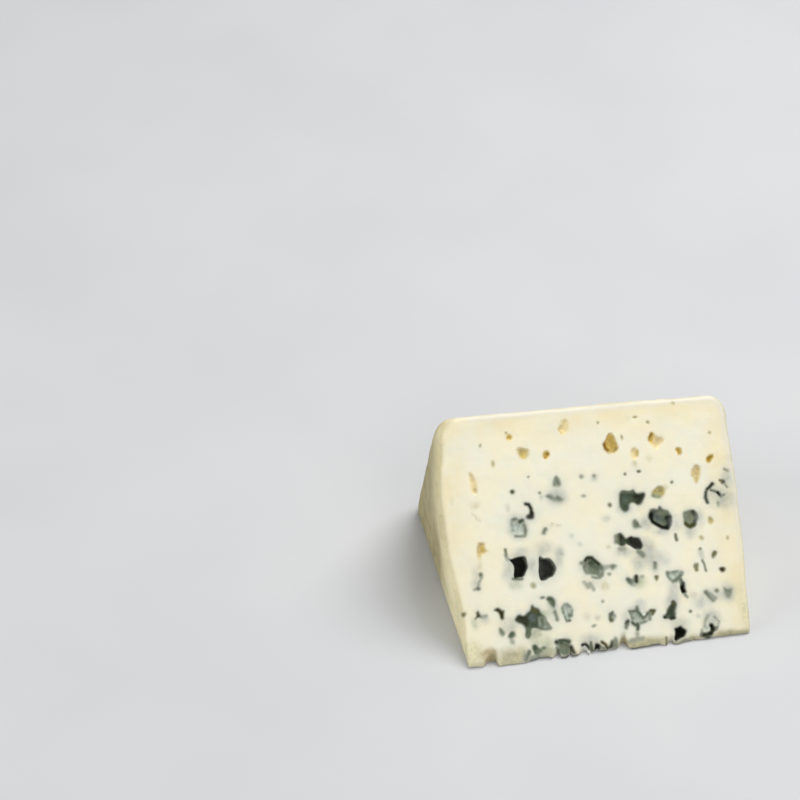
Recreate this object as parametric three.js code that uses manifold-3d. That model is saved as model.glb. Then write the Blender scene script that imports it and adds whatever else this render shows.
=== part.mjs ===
// A loose wedge of blue cheese, millimetres, +Z up.
//
// A small drum-shaped wheel is cut through its middle into eight. One such wedge lies on one of its
// two cut faces, with the thin tip towards -Y and the rind towards +Y, so that the other cut face
// slopes up at half a right angle. The wheel's own axis lies across the wedge, along X, just in
// front of the tip, and the wedge's two ends are the flat sides of the wheel.

import * as THREE from 'three';
import { mergeVertices } from 'three/addons/utils/BufferGeometryUtils.js';
import Module from 'manifold-3d';

// The wheel. Its two flat sides differ, as it has settled on one of them while it ripened.
const WHEEL_RADIUS = 84.6; // at the middle of its side wall
const RIND_TAPER = 1.4; // the wheel is this much wider at its left side, and slimmer at its right
const RIM_RADIUS = 6; // rounding between a flat side and the side wall

// The right side's distance from the middle of the wheel: it swells most at one radius.
const RIGHT_WIDEST = 50.2;
const RIGHT_SWELL = 1.9; // how much less that is on the axis
const RIGHT_SWELL_RADIUS = 48;

// The left side's: flat close to the axis, it steps out to its full width between two radii.
const LEFT_NARROW = 48.7;
const LEFT_STEP = 3.7;
const LEFT_STEP_FROM = 14;
const LEFT_STEP_TO = 42;
const LEFT_FLOOR_FLARE = 0.027; // on the floor it widens evenly instead, by this for each mm

// Clear of the floor, the left side's rim has also sagged inwards, more and more between two radii.
const RIM_SAG = 2.8;
const RIM_SAG_FROM = 58;
const RIM_SAG_TO = 84;
const RIM_SAG_LIFT = 0.5; // it is in full from this share of the way up to the sloping face

// The cut
const WEDGE_ANGLE = Math.PI / 4;
const TIP_BLUNT = 2.2; // the crumbled tip ends this far from the axis
const CUT_REACH = 120; // how far the cutting prism reaches past the wheel, every way

// How finely the round surfaces are divided
const WHEEL_SEGMENTS = 144;
const FLAT_STEPS = 14;
const RIM_STEPS = 5;
const WALL_STEPS = 14;
const POCKET_DETAIL = 3;

// Open pockets in the sloping cut face: their middle, across from the middle of the wedge and up the
// slope from the wheel's axis, then width, height along the slope, depth, and lean in degrees.
const POCKETS = [
  { across: -27.3, up: 33.5, width: 5.4, height: 7.0, depth: 4.5, lean: 8 },
  { across: -17.8, up: 31.8, width: 5.4, height: 7.8, depth: 4.5, lean: -6 },
  { across: 9.2, up: 38.0, width: 5.0, height: 4.4, depth: 3.0, lean: 0 },
  { across: 13.0, up: 37.0, width: 4.4, height: 5.0, depth: 3.2, lean: 10 },
  { across: 11.6, up: 51.8, width: 4.4, height: 6.0, depth: 2.8, lean: 12 },
  { across: 15.6, up: 52.4, width: 4.8, height: 4.8, depth: 2.6, lean: -20 },
  { across: 22.7, up: 44.0, width: 7.3, height: 7.0, depth: 3.6, lean: 20 },
  { across: 33.4, up: 42.4, width: 5.2, height: 6.0, depth: 3.0, lean: 0 },
  { across: -2.3, up: 30.8, width: 6.6, height: 7.0, depth: 2.8, lean: 30 },
  { across: -25.8, up: 46.9, width: 4.8, height: 6.2, depth: 2.2, lean: 0 },
  { across: -21.0, up: 51.5, width: 2.4, height: 5.4, depth: 2.4, lean: -24 },
  { across: -24.2, up: 16.4, width: 8.6, height: 7.6, depth: 2.8, lean: 40 },
  { across: 11.2, up: 12.6, width: 7.0, height: 5.4, depth: 2.4, lean: 10 },
  { across: 22.2, up: 12.8, width: 3.6, height: 6.2, depth: 2.8, lean: 24 },
  { across: 9.5, up: 71.0, width: 5.0, height: 6.4, depth: 3.0, lean: -10 },
  { across: 24.4, up: 70.6, width: 4.2, height: 5.6, depth: 2.6, lean: -24 },
  { across: 23.6, up: 53.2, width: 5.4, height: 4.0, depth: 2.2, lean: 30 },
  { across: 37.2, up: 58.0, width: 3.2, height: 5.8, depth: 1.8, lean: 8 },
  { across: -21.4, up: 71.4, width: 3.4, height: 3.4, depth: 2.2, lean: 0 },
  { across: -39.4, up: 40.6, width: 2.8, height: 4.8, depth: 1.8, lean: 0 },
  { across: -36.0, up: 19.4, width: 3.2, height: 4.4, depth: 2.2, lean: -20 },
];

// Bites that the ragged tip edge has lost: their middle across, then width and how far back they go.
const TIP_BITES = [
  { across: -41.2, width: 4.6, back: 1.6 },
  { across: -14.0, width: 6.2, back: 2.2 },
  { across: -5.6, width: 4.4, back: 1.5 },
  { across: 5.8, width: 4.8, back: 1.8 },
  { across: 24.8, width: 5.0, back: 2.6 },
];

const wasm = await Module();
wasm.setup();

// A closed three.js geometry as a solid, without the slivers of no area that a lathe has on its axis.
function solidOf(geometry) {
  const bare = geometry.clone();
  bare.deleteAttribute('normal');
  bare.deleteAttribute('uv');
  const welded = mergeVertices(bare, 1e-4);
  const corners = welded.index.array;
  const triangles = [];
  for (let i = 0; i < corners.length; i += 3) {
    const [a, b, c] = corners.slice(i, i + 3);
    if (a !== b && b !== c && c !== a) {
      triangles.push(a, b, c);
    }
  }
  const mesh = new wasm.Mesh({
    numProp: 3,
    vertProperties: new Float32Array(welded.attributes.position.array),
    triVerts: new Uint32Array(triangles),
  });
  return new wasm.Manifold(mesh);
}

function geometryOf(solid) {
  const { vertProperties, triVerts } = solid.getMesh();
  const geometry = new THREE.BufferGeometry();
  geometry.setAttribute('position', new THREE.BufferAttribute(vertProperties, 3));
  geometry.setIndex(new THREE.BufferAttribute(triVerts, 1));
  geometry.computeVertexNormals();
  return geometry;
}

// How far a flat side stands from the middle of the wheel. side is -1 left, 1 right.
function reachOf(side, radius) {
  if (side > 0) {
    return RIGHT_WIDEST - RIGHT_SWELL * ((radius - RIGHT_SWELL_RADIUS) / RIGHT_SWELL_RADIUS) ** 2;
  }
  return LEFT_NARROW + LEFT_STEP * THREE.MathUtils.smoothstep(radius, LEFT_STEP_FROM, LEFT_STEP_TO);
}

// One side of the wheel's section, from the axis out and round the rim.
function sideProfile(side) {
  const inner = WHEEL_RADIUS - side * RIND_TAPER - RIM_RADIUS;
  const points = [];
  for (let i = 0; i < FLAT_STEPS; i += 1) {
    const radius = (inner * i) / FLAT_STEPS;
    points.push(new THREE.Vector2(radius, side * reachOf(side, radius)));
  }
  const centre = new THREE.Vector2(inner, reachOf(side, inner) - RIM_RADIUS);
  for (let i = 0; i <= RIM_STEPS; i += 1) {
    const turn = (Math.PI / 2) * (i / RIM_STEPS);
    const radius = centre.x + RIM_RADIUS * Math.sin(turn);
    points.push(new THREE.Vector2(radius, side * (centre.y + RIM_RADIUS * Math.cos(turn))));
  }
  return points;
}

// How far in the left side's rim has sagged. lift is 0 on the floor and 1 on the sloping face.
function rimSag(radius, lift) {
  const outwards = THREE.MathUtils.smoothstep(radius, RIM_SAG_FROM, RIM_SAG_TO);
  return RIM_SAG * outwards * THREE.MathUtils.smoothstep(lift, 0, RIM_SAG_LIFT);
}

// Draws the left side in towards the floor, where the wedge lies, and at its rim.
function settleLeftSide(position) {
  const point = new THREE.Vector3();
  for (let i = 0; i < position.count; i += 1) {
    point.fromBufferAttribute(position, i);
    if (point.x < 0) {
      const radius = Math.hypot(point.y, point.z);
      const angle = Math.abs(Math.atan2(point.z, point.y));
      const lift = Math.min(1, angle / WEDGE_ANGLE);
      const onSlope = reachOf(-1, radius);
      const onFloor = LEFT_NARROW + LEFT_FLOOR_FLARE * radius;
      const settled = THREE.MathUtils.lerp(onFloor, onSlope, lift) - rimSag(radius, lift);
      position.setX(i, (point.x * settled) / onSlope);
    }
  }
}

// The whole wheel, turned about X.
function wheelSolid() {
  const left = sideProfile(-1);
  const right = sideProfile(1).reverse();
  const from = left[left.length - 1];
  const to = right[0];
  const wall = [];
  for (let i = 1; i < WALL_STEPS; i += 1) {
    wall.push(from.clone().lerp(to, i / WALL_STEPS));
  }
  const wheel = new THREE.LatheGeometry([...left, ...wall, ...right], WHEEL_SEGMENTS);
  wheel.rotateZ(-Math.PI / 2);
  settleLeftSide(wheel.attributes.position);
  return solidOf(wheel);
}

// The prism between the two cuts, blunt where the tip has crumbled away.
function cutPrism() {
  const reach = WHEEL_RADIUS + CUT_REACH;
  const slope = Math.tan(WEDGE_ANGLE);
  const outline = new THREE.Shape();
  outline.moveTo(TIP_BLUNT, 0);
  outline.lineTo(reach, 0);
  outline.lineTo(reach, reach * slope);
  outline.lineTo(TIP_BLUNT, TIP_BLUNT * slope);
  outline.closePath();
  const width = 2 * (WHEEL_RADIUS + CUT_REACH);
  const prism = new THREE.ExtrudeGeometry(outline, { depth: width, bevelEnabled: false });
  prism.translate(0, 0, -width / 2);
  // The outline's x becomes Y, its y becomes Z, and the extrusion runs along X.
  prism.applyMatrix4(new THREE.Matrix4().makeBasis(
    new THREE.Vector3(0, 1, 0),
    new THREE.Vector3(0, 0, 1),
    new THREE.Vector3(1, 0, 0),
  ));
  return solidOf(prism);
}

// A lumpy ball with its half sizes along X, Y and Z, and a lumpiness that differs from one to the next.
function lumpyBall(halfX, halfY, halfZ, seed) {
  const ball = new THREE.IcosahedronGeometry(1, POCKET_DETAIL);
  const position = ball.attributes.position;
  const point = new THREE.Vector3();
  for (let i = 0; i < position.count; i += 1) {
    point.fromBufferAttribute(position, i);
    const lump = 0.12 * Math.sin(3.1 * point.x + seed) + 0.1 * Math.sin(4.3 * point.y + 2 * seed);
    point.multiplyScalar(1 + lump);
    position.setXYZ(i, point.x * halfX, point.y * halfY, point.z * halfZ);
  }
  return ball;
}

// A pocket in the sloping face: across is X, up the slope and into the cheese are tilted with the cut.
function pocketSolid(pocket, index) {
  const ball = lumpyBall(pocket.width / 2, pocket.height / 2, pocket.depth, index);
  ball.rotateZ(THREE.MathUtils.degToRad(pocket.lean));
  ball.rotateX(WEDGE_ANGLE);
  const along = pocket.up * Math.cos(WEDGE_ANGLE);
  const above = pocket.up * Math.sin(WEDGE_ANGLE);
  ball.translate(pocket.across, along, above);
  return solidOf(ball);
}

// A bite out of the tip edge: an upright lump that takes the tip's whole thickness.
function tipBiteSolid(bite, index) {
  const ball = lumpyBall(bite.width / 2, bite.back, 2 * TIP_BLUNT + bite.back, index + 0.5);
  ball.translate(bite.across, TIP_BLUNT, TIP_BLUNT);
  return solidOf(ball);
}

function wedgeGeometry() {
  let cheese = wheelSolid().intersect(cutPrism());
  POCKETS.forEach((pocket, index) => {
    cheese = cheese.subtract(pocketSolid(pocket, index));
  });
  TIP_BITES.forEach((bite, index) => {
    cheese = cheese.subtract(tipBiteSolid(bite, index));
  });
  return geometryOf(cheese);
}

const paste = new THREE.MeshStandardMaterial({ color: 0xece5c8, roughness: 0.55, metalness: 0 });
const wedge = new THREE.Mesh(wedgeGeometry(), paste);
wedge.name = 'wedge';

// The origin is the middle of the base of the wedge's box, so the wheel's axis lies in front of it.
wedge.geometry.computeBoundingBox();
const box = wedge.geometry.boundingBox;
wedge.position.set(-(box.min.x + box.max.x) / 2, -(box.min.y + box.max.y) / 2, -box.min.z);

const cheeseWedge = new THREE.Group();
cheeseWedge.add(wedge);

export default cheeseWedge;
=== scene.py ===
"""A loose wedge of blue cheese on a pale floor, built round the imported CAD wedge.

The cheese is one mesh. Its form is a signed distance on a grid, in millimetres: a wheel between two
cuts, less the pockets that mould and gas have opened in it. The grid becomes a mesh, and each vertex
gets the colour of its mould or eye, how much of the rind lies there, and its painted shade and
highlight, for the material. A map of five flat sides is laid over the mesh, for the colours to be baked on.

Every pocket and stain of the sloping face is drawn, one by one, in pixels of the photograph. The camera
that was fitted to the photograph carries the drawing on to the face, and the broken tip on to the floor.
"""

import math
from collections import namedtuple

import bpy
import numpy as np
from mathutils import Matrix, Vector


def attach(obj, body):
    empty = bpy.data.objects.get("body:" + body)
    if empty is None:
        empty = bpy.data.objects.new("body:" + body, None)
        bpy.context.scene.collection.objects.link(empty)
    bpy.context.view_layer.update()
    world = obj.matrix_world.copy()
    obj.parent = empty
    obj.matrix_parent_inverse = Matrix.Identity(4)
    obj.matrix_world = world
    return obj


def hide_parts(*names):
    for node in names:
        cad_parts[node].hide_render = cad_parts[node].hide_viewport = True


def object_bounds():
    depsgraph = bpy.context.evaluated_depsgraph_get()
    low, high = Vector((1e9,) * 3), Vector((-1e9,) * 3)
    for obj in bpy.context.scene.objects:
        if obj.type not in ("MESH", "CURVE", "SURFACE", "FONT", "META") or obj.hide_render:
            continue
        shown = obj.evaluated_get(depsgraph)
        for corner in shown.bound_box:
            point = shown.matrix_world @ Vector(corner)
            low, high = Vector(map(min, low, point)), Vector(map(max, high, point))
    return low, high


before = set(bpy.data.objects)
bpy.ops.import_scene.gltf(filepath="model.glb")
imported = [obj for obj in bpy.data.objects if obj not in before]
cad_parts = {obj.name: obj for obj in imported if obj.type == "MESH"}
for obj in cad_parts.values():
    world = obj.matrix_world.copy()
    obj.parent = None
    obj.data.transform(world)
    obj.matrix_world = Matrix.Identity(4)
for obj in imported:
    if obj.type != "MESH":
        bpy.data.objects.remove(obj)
CAD_LOW, CAD_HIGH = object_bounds()

MM = 0.001
RANDOM = np.random.default_rng(7)

# The wheel that the wedge was cut from, in millimetres. Its two flat sides differ: the right one
# swells most at one radius, and the left one steps out to its full width, less so on the floor.
WHEEL_RADIUS = 84.6
RIND_TAPER = 1.4  # the wheel is this much wider at its left side, and slimmer at its right
RIM_RADIUS = 6.0
RIGHT_WIDEST = 50.2
RIGHT_SWELL = 1.9
RIGHT_SWELL_RADIUS = 48.0
LEFT_NARROW = 48.7
LEFT_STEP = 3.7
LEFT_STEP_FROM = 14.0
LEFT_STEP_TO = 42.0
LEFT_FLOOR_FLARE = 0.027
RIM_SAG = 2.8  # how far in the left rim has sagged, clear of the floor
RIM_SAG_FROM = 58.0
RIM_SAG_TO = 84.0
RIM_SAG_LIFT = 0.5  # it is in full from this share of the way up to the slope
TIP_BLUNT = 2.2  # how far the tip ends behind the wheel's axis

# The wheel's axis lies on the floor, just in front of the tip, and across is measured from its middle.
AXIS_Y = CAD_LOW.y / MM - TIP_BLUNT
MIDDLE_X = CAD_HIGH.x / MM - RIGHT_WIDEST

# How far each kind of edge is rounded
CUT_EDGE = 1.5
LEFT_CUT_EDGE = 3.2
LEFT_EDGE_ACROSS = (-40, -50)  # where the left one takes over, across
LEFT_EDGE_ABOVE = (3, 30)  # and above the floor
BASE_EDGE = 0.7
TIP_EDGE = 0.6
LIP = 0.3  # of the pockets

# How much each noise raises and lowers the surface: the widest, the rind's lumps, the middle, the finest
CUT_RELIEF = (0.18, 0, 0.08, 0.045)
RIND_RELIEF = (0.22, 0.16, 0.1, 0.07)
POCKET_RELIEF = 0.08  # of the finest, in a pocket
TIP_WANDER = 0.14  # how far the tip's outline wanders
FLAT_BELOW = 6  # there is no relief on the floor, and all of it from this height

# The grid
STEP = 0.34
MARGIN = 1.5
TRIANGLES = 190_000

ROOT_HALF = math.sqrt(0.5)


def linear(red, green, blue):
    """A colour given as it looks on screen, from 0 to 255, as the shader wants it."""
    return tuple(
        c / 12.92 if c <= 0.04045 else ((c + 0.055) / 1.055) ** 2.4
        for c in (red / 255, green / 255, blue / 255)
    ) + (1.0,)


# ---------------------------------------------------------------- the photograph's camera

PHOTO_SIZE = 800  # pixels, each way
SENSOR_WIDTH = 36.0

# It looks at a place on the floor beyond and left of the wedge, turned and rolled a little. The place
# is given in millimetres from the middle of the wheel's axis, and so is the eye.
CAMERA_AIM = Vector((-45.8, 142.1, 0))
CAMERA_DISTANCE = 1486.2
CAMERA_PITCH = math.radians(40.67)
CAMERA_TURN = math.radians(11.16)
CAMERA_ROLL = math.radians(0.70)
CAMERA_LENS = 185.34
CAMERA_SEES = 20  # metres
FOCAL = CAMERA_LENS / SENSOR_WIDTH * PHOTO_SIZE


def camera_axes():
    """To its right, up, and the way that it looks."""
    forward = Vector((
        math.sin(CAMERA_TURN) * math.cos(CAMERA_PITCH),
        math.cos(CAMERA_TURN) * math.cos(CAMERA_PITCH),
        -math.sin(CAMERA_PITCH),
    ))
    level = forward.cross(Vector((0, 0, 1))).normalized()
    upright = level.cross(forward)
    right = level * math.cos(CAMERA_ROLL) + upright * math.sin(CAMERA_ROLL)
    up = upright * math.cos(CAMERA_ROLL) - level * math.sin(CAMERA_ROLL)
    return right, up, forward


CAMERA_RIGHT, CAMERA_UP, CAMERA_FORWARD = camera_axes()
CAMERA_EYE = CAMERA_AIM - CAMERA_FORWARD * CAMERA_DISTANCE


def sight(column, row):
    """The line of sight through a pixel."""
    sideways = CAMERA_RIGHT * (column - PHOTO_SIZE / 2) / FOCAL
    downwards = CAMERA_UP * (row - PHOTO_SIZE / 2) / FOCAL
    return CAMERA_FORWARD + sideways - downwards


def on_slope(column, row):
    """Where a pixel shows the sloping face: across, and up the slope."""
    ray = sight(column, row)
    point = CAMERA_EYE + ray * (CAMERA_EYE.z - CAMERA_EYE.y) / (ray.y - ray.z)
    return point.x, math.hypot(point.y, point.z)


def on_floor(column, row):
    """Where a pixel shows the floor: across, and how far behind the wheel's axis."""
    ray = sight(column, row)
    point = CAMERA_EYE - ray * CAMERA_EYE.z / ray.z
    return point.x, point.y


# ---------------------------------------------------------------- noise

class Noise:
    """Smooth random values, about -1 to 1, from cubic splines over a lattice that spans the wedge."""

    GAIN = 2.6
    BORDER = 4

    def __init__(self, spacing):
        self.spacing = np.broadcast_to(np.asarray(spacing, float), 3)
        self.low = np.array(CAD_LOW) / MM - MARGIN - self.BORDER * self.spacing
        high = np.array(CAD_HIGH) / MM + MARGIN + self.BORDER * self.spacing
        size = np.ceil((high - self.low) / self.spacing).astype(int) + 1
        self.values = RANDOM.uniform(-self.GAIN, self.GAIN, size).astype(np.float32)

    def _weights(self, coordinates, axis):
        """The first of four lattice places for each coordinate, and their four weights."""
        place = (coordinates - self.low[axis]) / self.spacing[axis]
        whole = np.floor(place).astype(int)
        f = (place - whole).astype(np.float32)
        weights = np.stack([
            (1 - f) ** 3,
            3 * f**3 - 6 * f**2 + 4,
            -3 * f**3 + 3 * f**2 + 3 * f + 1,
            f**3,
        ]) / 6
        return np.clip(whole - 1, 0, self.values.shape[axis] - 4), weights

    def on_grid(self, *axes):
        """The values over a box grid, given by its three lists of coordinates."""
        out = self.values
        for axis, coordinates in enumerate(axes):
            first, weights = self._weights(coordinates, axis)
            spread = np.zeros((len(coordinates), self.values.shape[axis]), np.float32)
            rows = np.arange(len(coordinates))
            for k in range(4):
                spread[rows, first + k] = weights[k]
            out = np.moveaxis(np.tensordot(spread, out, axes=(1, axis)), 0, axis)
        return np.ascontiguousarray(out)

    def at(self, points):
        """The values at loose points, one per row."""
        firsts, weights = zip(*(self._weights(points[:, axis], axis) for axis in range(3)))
        total = np.zeros(len(points), np.float32)
        for i in range(4):
            for j in range(4):
                for k in range(4):
                    lattice = self.values[firsts[0] + i, firsts[1] + j, firsts[2] + k]
                    total += lattice * weights[0][i] * weights[1][j] * weights[2][k]
        return total


WIDE = Noise(15)
MIDDLE = Noise(3.4)
FINE = Noise(1.2)
RIND_LUMPS = Noise((9, 6, 6))
WARP_ACROSS = Noise(1.7)
WARP_UP = Noise(1.7)


# ---------------------------------------------------------------- the wheel and its cuts

def smooth_step(low, high, value):
    t = np.clip((value - low) / (high - low), 0, 1)
    return t * t * (3 - 2 * t)


def rounded_max(a, b, radius):
    """The overlap of two distances, with the edge between them rounded."""
    a, b = a + radius, b + radius
    outside = np.hypot(np.maximum(a, 0), np.maximum(b, 0))
    return outside + np.minimum(np.maximum(a, b), 0) - radius


def smooth_cut(body, hollow, radius):
    """body without hollow, with a lip of about that radius."""
    gap = np.clip(0.5 - 0.5 * (body + hollow) / radius, 0, 1)
    return body * (1 - gap) - hollow * gap + radius * gap * (1 - gap)


def right_reach(radius):
    return RIGHT_WIDEST - RIGHT_SWELL * ((radius - RIGHT_SWELL_RADIUS) / RIGHT_SWELL_RADIUS) ** 2


def left_reach(radius, lift):
    """How far the left side stands from the middle, from the floor, lift 0, to the slope, lift 1."""
    at_slope = LEFT_NARROW + LEFT_STEP * smooth_step(LEFT_STEP_FROM, LEFT_STEP_TO, radius)
    at_floor = LEFT_NARROW + LEFT_FLOOR_FLARE * radius
    sag = RIM_SAG * smooth_step(RIM_SAG_FROM, RIM_SAG_TO, radius) * smooth_step(0, RIM_SAG_LIFT, lift)
    return at_floor + (at_slope - at_floor) * lift - sag


def wheel_distance(x, y, z):
    across, along = x - MIDDLE_X, y - AXIS_Y
    radius = np.hypot(along, z)
    lift = np.clip(np.arctan2(z, along) / (math.pi / 4), 0, 1)
    side = np.where(across > 0, across - right_reach(radius), -across - left_reach(radius, lift))
    wall = radius - (WHEEL_RADIUS - RIND_TAPER * across / RIGHT_WIDEST)
    return rounded_max(side, wall, RIM_RADIUS)


def slope_distance(y, z):
    """Above the sloping cut face."""
    return (z - (y - AXIS_Y)) * ROOT_HALF


RIND_BLEND = 0.8  # the rind's tint fades out over this much on either side of its edge
EDGE_SHADE_CREEP = 2.2  # how far the rind's tint reaches on to the slope at the left, as painted shade
CREEP_ACROSS = (-41, -46)
CREEP_UP = (8, 40)
CORNER_SHADE_CREEP = 1.2  # how much further at the top left corner
CORNER_UP = (68, 82)
FULL_CREEP = 0.6  # the share of that by which its full strength reaches further too


def rind_lead(wheel, y, z):
    """Above 0 where the nearest side is the rind, and below 0 where it is a cut."""
    return wheel - np.maximum(slope_distance(y, z), -z)


def wheel_share(wheel, y, z):
    """1 on the rind, 0 on a cut face."""
    return smooth_step(-RIND_BLEND, RIND_BLEND, rind_lead(wheel, y, z))


def rind_share_and_edge_shade(x, y, z):
    """As wheel_share, but with painted shade: the rind's tint reaches round the left edge on to the slope.
    """
    wheel, up = wheel_distance(x, y, z), Slope.local(x, y, z)[1]
    creep = EDGE_SHADE_CREEP * smooth_step(*CREEP_UP, up) + CORNER_SHADE_CREEP * smooth_step(*CORNER_UP, up)
    creep = creep * smooth_step(*CREEP_ACROSS, x - MIDDLE_X)
    return smooth_step(-RIND_BLEND - creep, RIND_BLEND - FULL_CREEP * creep, rind_lead(wheel, y, z))


def cut_edge(x, z):
    """The rounding where the slope meets the rind: most at the left end, away from the tip."""
    left = smooth_step(*LEFT_EDGE_ACROSS, x - MIDDLE_X) * smooth_step(*LEFT_EDGE_ABOVE, z)
    return CUT_EDGE + (LEFT_CUT_EDGE - CUT_EDGE) * left


def body_distance(x, y, z, noises):
    """The wedge before it has any pockets, with the gentle unevenness of its cuts and rind."""
    wheel = wheel_distance(x, y, z)
    rind = wheel_share(wheel, y, z)
    cut_relief = sum(height * noise for height, noise in zip(CUT_RELIEF, noises))
    rind_relief = sum(height * noise for height, noise in zip(RIND_RELIEF, noises))
    relief = smooth_step(0, FLAT_BELOW, z) * (cut_relief * (1 - rind) + rind_relief * rind)
    body = rounded_max(wheel + relief, slope_distance(y, z) + relief, cut_edge(x, z))
    return rounded_max(body, -z, BASE_EDGE)


# ---------------------------------------------------------------- faces

class Slope:
    """The sloping cut face: across, up from the wheel's axis, and depth below it."""

    @staticmethod
    def local(x, y, z):
        along = y - AXIS_Y
        return x - MIDDLE_X, (along + z) * ROOT_HALF, (along - z) * ROOT_HALF

    @staticmethod
    def world(across, up, depth):
        return MIDDLE_X + across, AXIS_Y + (up + depth) * ROOT_HALF, (up - depth) * ROOT_HALF


class Base:
    """The cut face that the wedge lies on."""

    @staticmethod
    def local(x, y, z):
        return x - MIDDLE_X, y - AXIS_Y, z

    @staticmethod
    def world(across, up, depth):
        return MIDDLE_X + across, AXIS_Y + up, depth


# ---------------------------------------------------------------- shapes on a face

class Oval:
    def __init__(self, across, up, half_width, half_up, lean=0):
        self.place, self.half, self.lean = (across, up), (half_width, half_up), math.radians(lean)
        reach = max(self.half)
        self.low, self.high = (across - reach, up - reach), (across + reach, up + reach)
        self.inradius = min(self.half)

    def distance(self, across, up):
        a, u = across - self.place[0], up - self.place[1]
        first = (a * math.cos(self.lean) - u * math.sin(self.lean)) / self.half[0]
        second = (a * math.sin(self.lean) + u * math.cos(self.lean)) / self.half[1]
        return (np.hypot(first, second) - 1) * self.inradius


class Outline:
    """A closed outline through corners, which are eased off."""

    INRADIUS = 0.42  # as a share of its narrower extent

    def __init__(self, *corners):
        self.corners = eased(corners)
        self.low, self.high = np.min(corners, axis=0), np.max(corners, axis=0)
        self.inradius = self.INRADIUS * float(np.min(self.high - self.low))

    def distance(self, across, up):
        inside = np.zeros(np.shape(across), bool)
        nearest = np.full(np.shape(across), np.inf)
        for start, end in zip(self.corners, self.corners[1:] + self.corners[:1]):
            nearest = np.minimum(nearest, segment_distance(across, up, start, end))
            rise = (end[1] - start[1]) or 1e-9
            along = start[0] + (up - start[1]) * (end[0] - start[0]) / rise
            inside ^= ((start[1] <= up) != (end[1] <= up)) & (across < along)
        return np.where(inside, -nearest, nearest)


class Stroke:
    """A line of some width through points."""

    def __init__(self, half_width, *points):
        self.points, self.inradius = points, half_width
        self.low = np.min(points, axis=0) - half_width
        self.high = np.max(points, axis=0) + half_width

    def distance(self, across, up):
        parts = [segment_distance(across, up, a, b) for a, b in zip(self.points, self.points[1:])]
        return np.minimum.reduce(parts) - self.inradius


def segment_distance(across, up, start, end):
    (a0, u0), (a1, u1) = start, end
    edge_a, edge_u = a1 - a0, u1 - u0
    from_a, from_u = across - a0, up - u0
    along = np.clip((from_a * edge_a + from_u * edge_u) / (edge_a**2 + edge_u**2), 0, 1)
    return np.hypot(from_a - along * edge_a, from_u - along * edge_u)


def eased(corners, share=0.25):
    """The same closed outline with every corner cut off at that share of its sides."""
    out = []
    for (a0, u0), (a1, u1) in zip(corners, corners[1:] + corners[:1]):
        out.append((a0 + share * (a1 - a0), u0 + share * (u1 - u0)))
        out.append((a1 - share * (a1 - a0), u1 - share * (u1 - u0)))
    return out


# The same shapes on the sloping face, drawn on the photograph. All that these three are given is in
# pixels, and half widths and half heights are measured along its rows and columns.

STROKE_SPREAD = 0.1  # millimetres that a stroke is wider than drawn
STROKE_LEAST = 0.2
OVAL_SPREAD = 0.1  # pixels that an oval is wider than drawn
DOT_SPREAD = 0.35  # and a dot, which would look too small between its soft edges
DOT_SIZE = 2.2  # an oval is a dot if no half of it is as long as this


def outline(*pixels):
    return Outline(*(on_slope(*pixel) for pixel in pixels))


def stroke(half_width, *pixels):
    column, row = pixels[0]
    pixel_width = math.dist(on_slope(column, row), on_slope(column + 1, row))
    wide = max(half_width * pixel_width + STROKE_SPREAD, STROKE_LEAST)
    return Stroke(wide, *(on_slope(*pixel) for pixel in pixels))


def oval(column, row, half_width, half_height):
    spread = DOT_SPREAD if max(half_width, half_height) < DOT_SIZE else OVAL_SPREAD
    middle = on_slope(column, row)
    sideways = math.dist(middle, on_slope(column + half_width + spread, row))
    upwards = math.dist(middle, on_slope(column, row - half_height - spread))
    return Oval(*middle, sideways, upwards)


# ---------------------------------------------------------------- what is in the cheese

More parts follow.
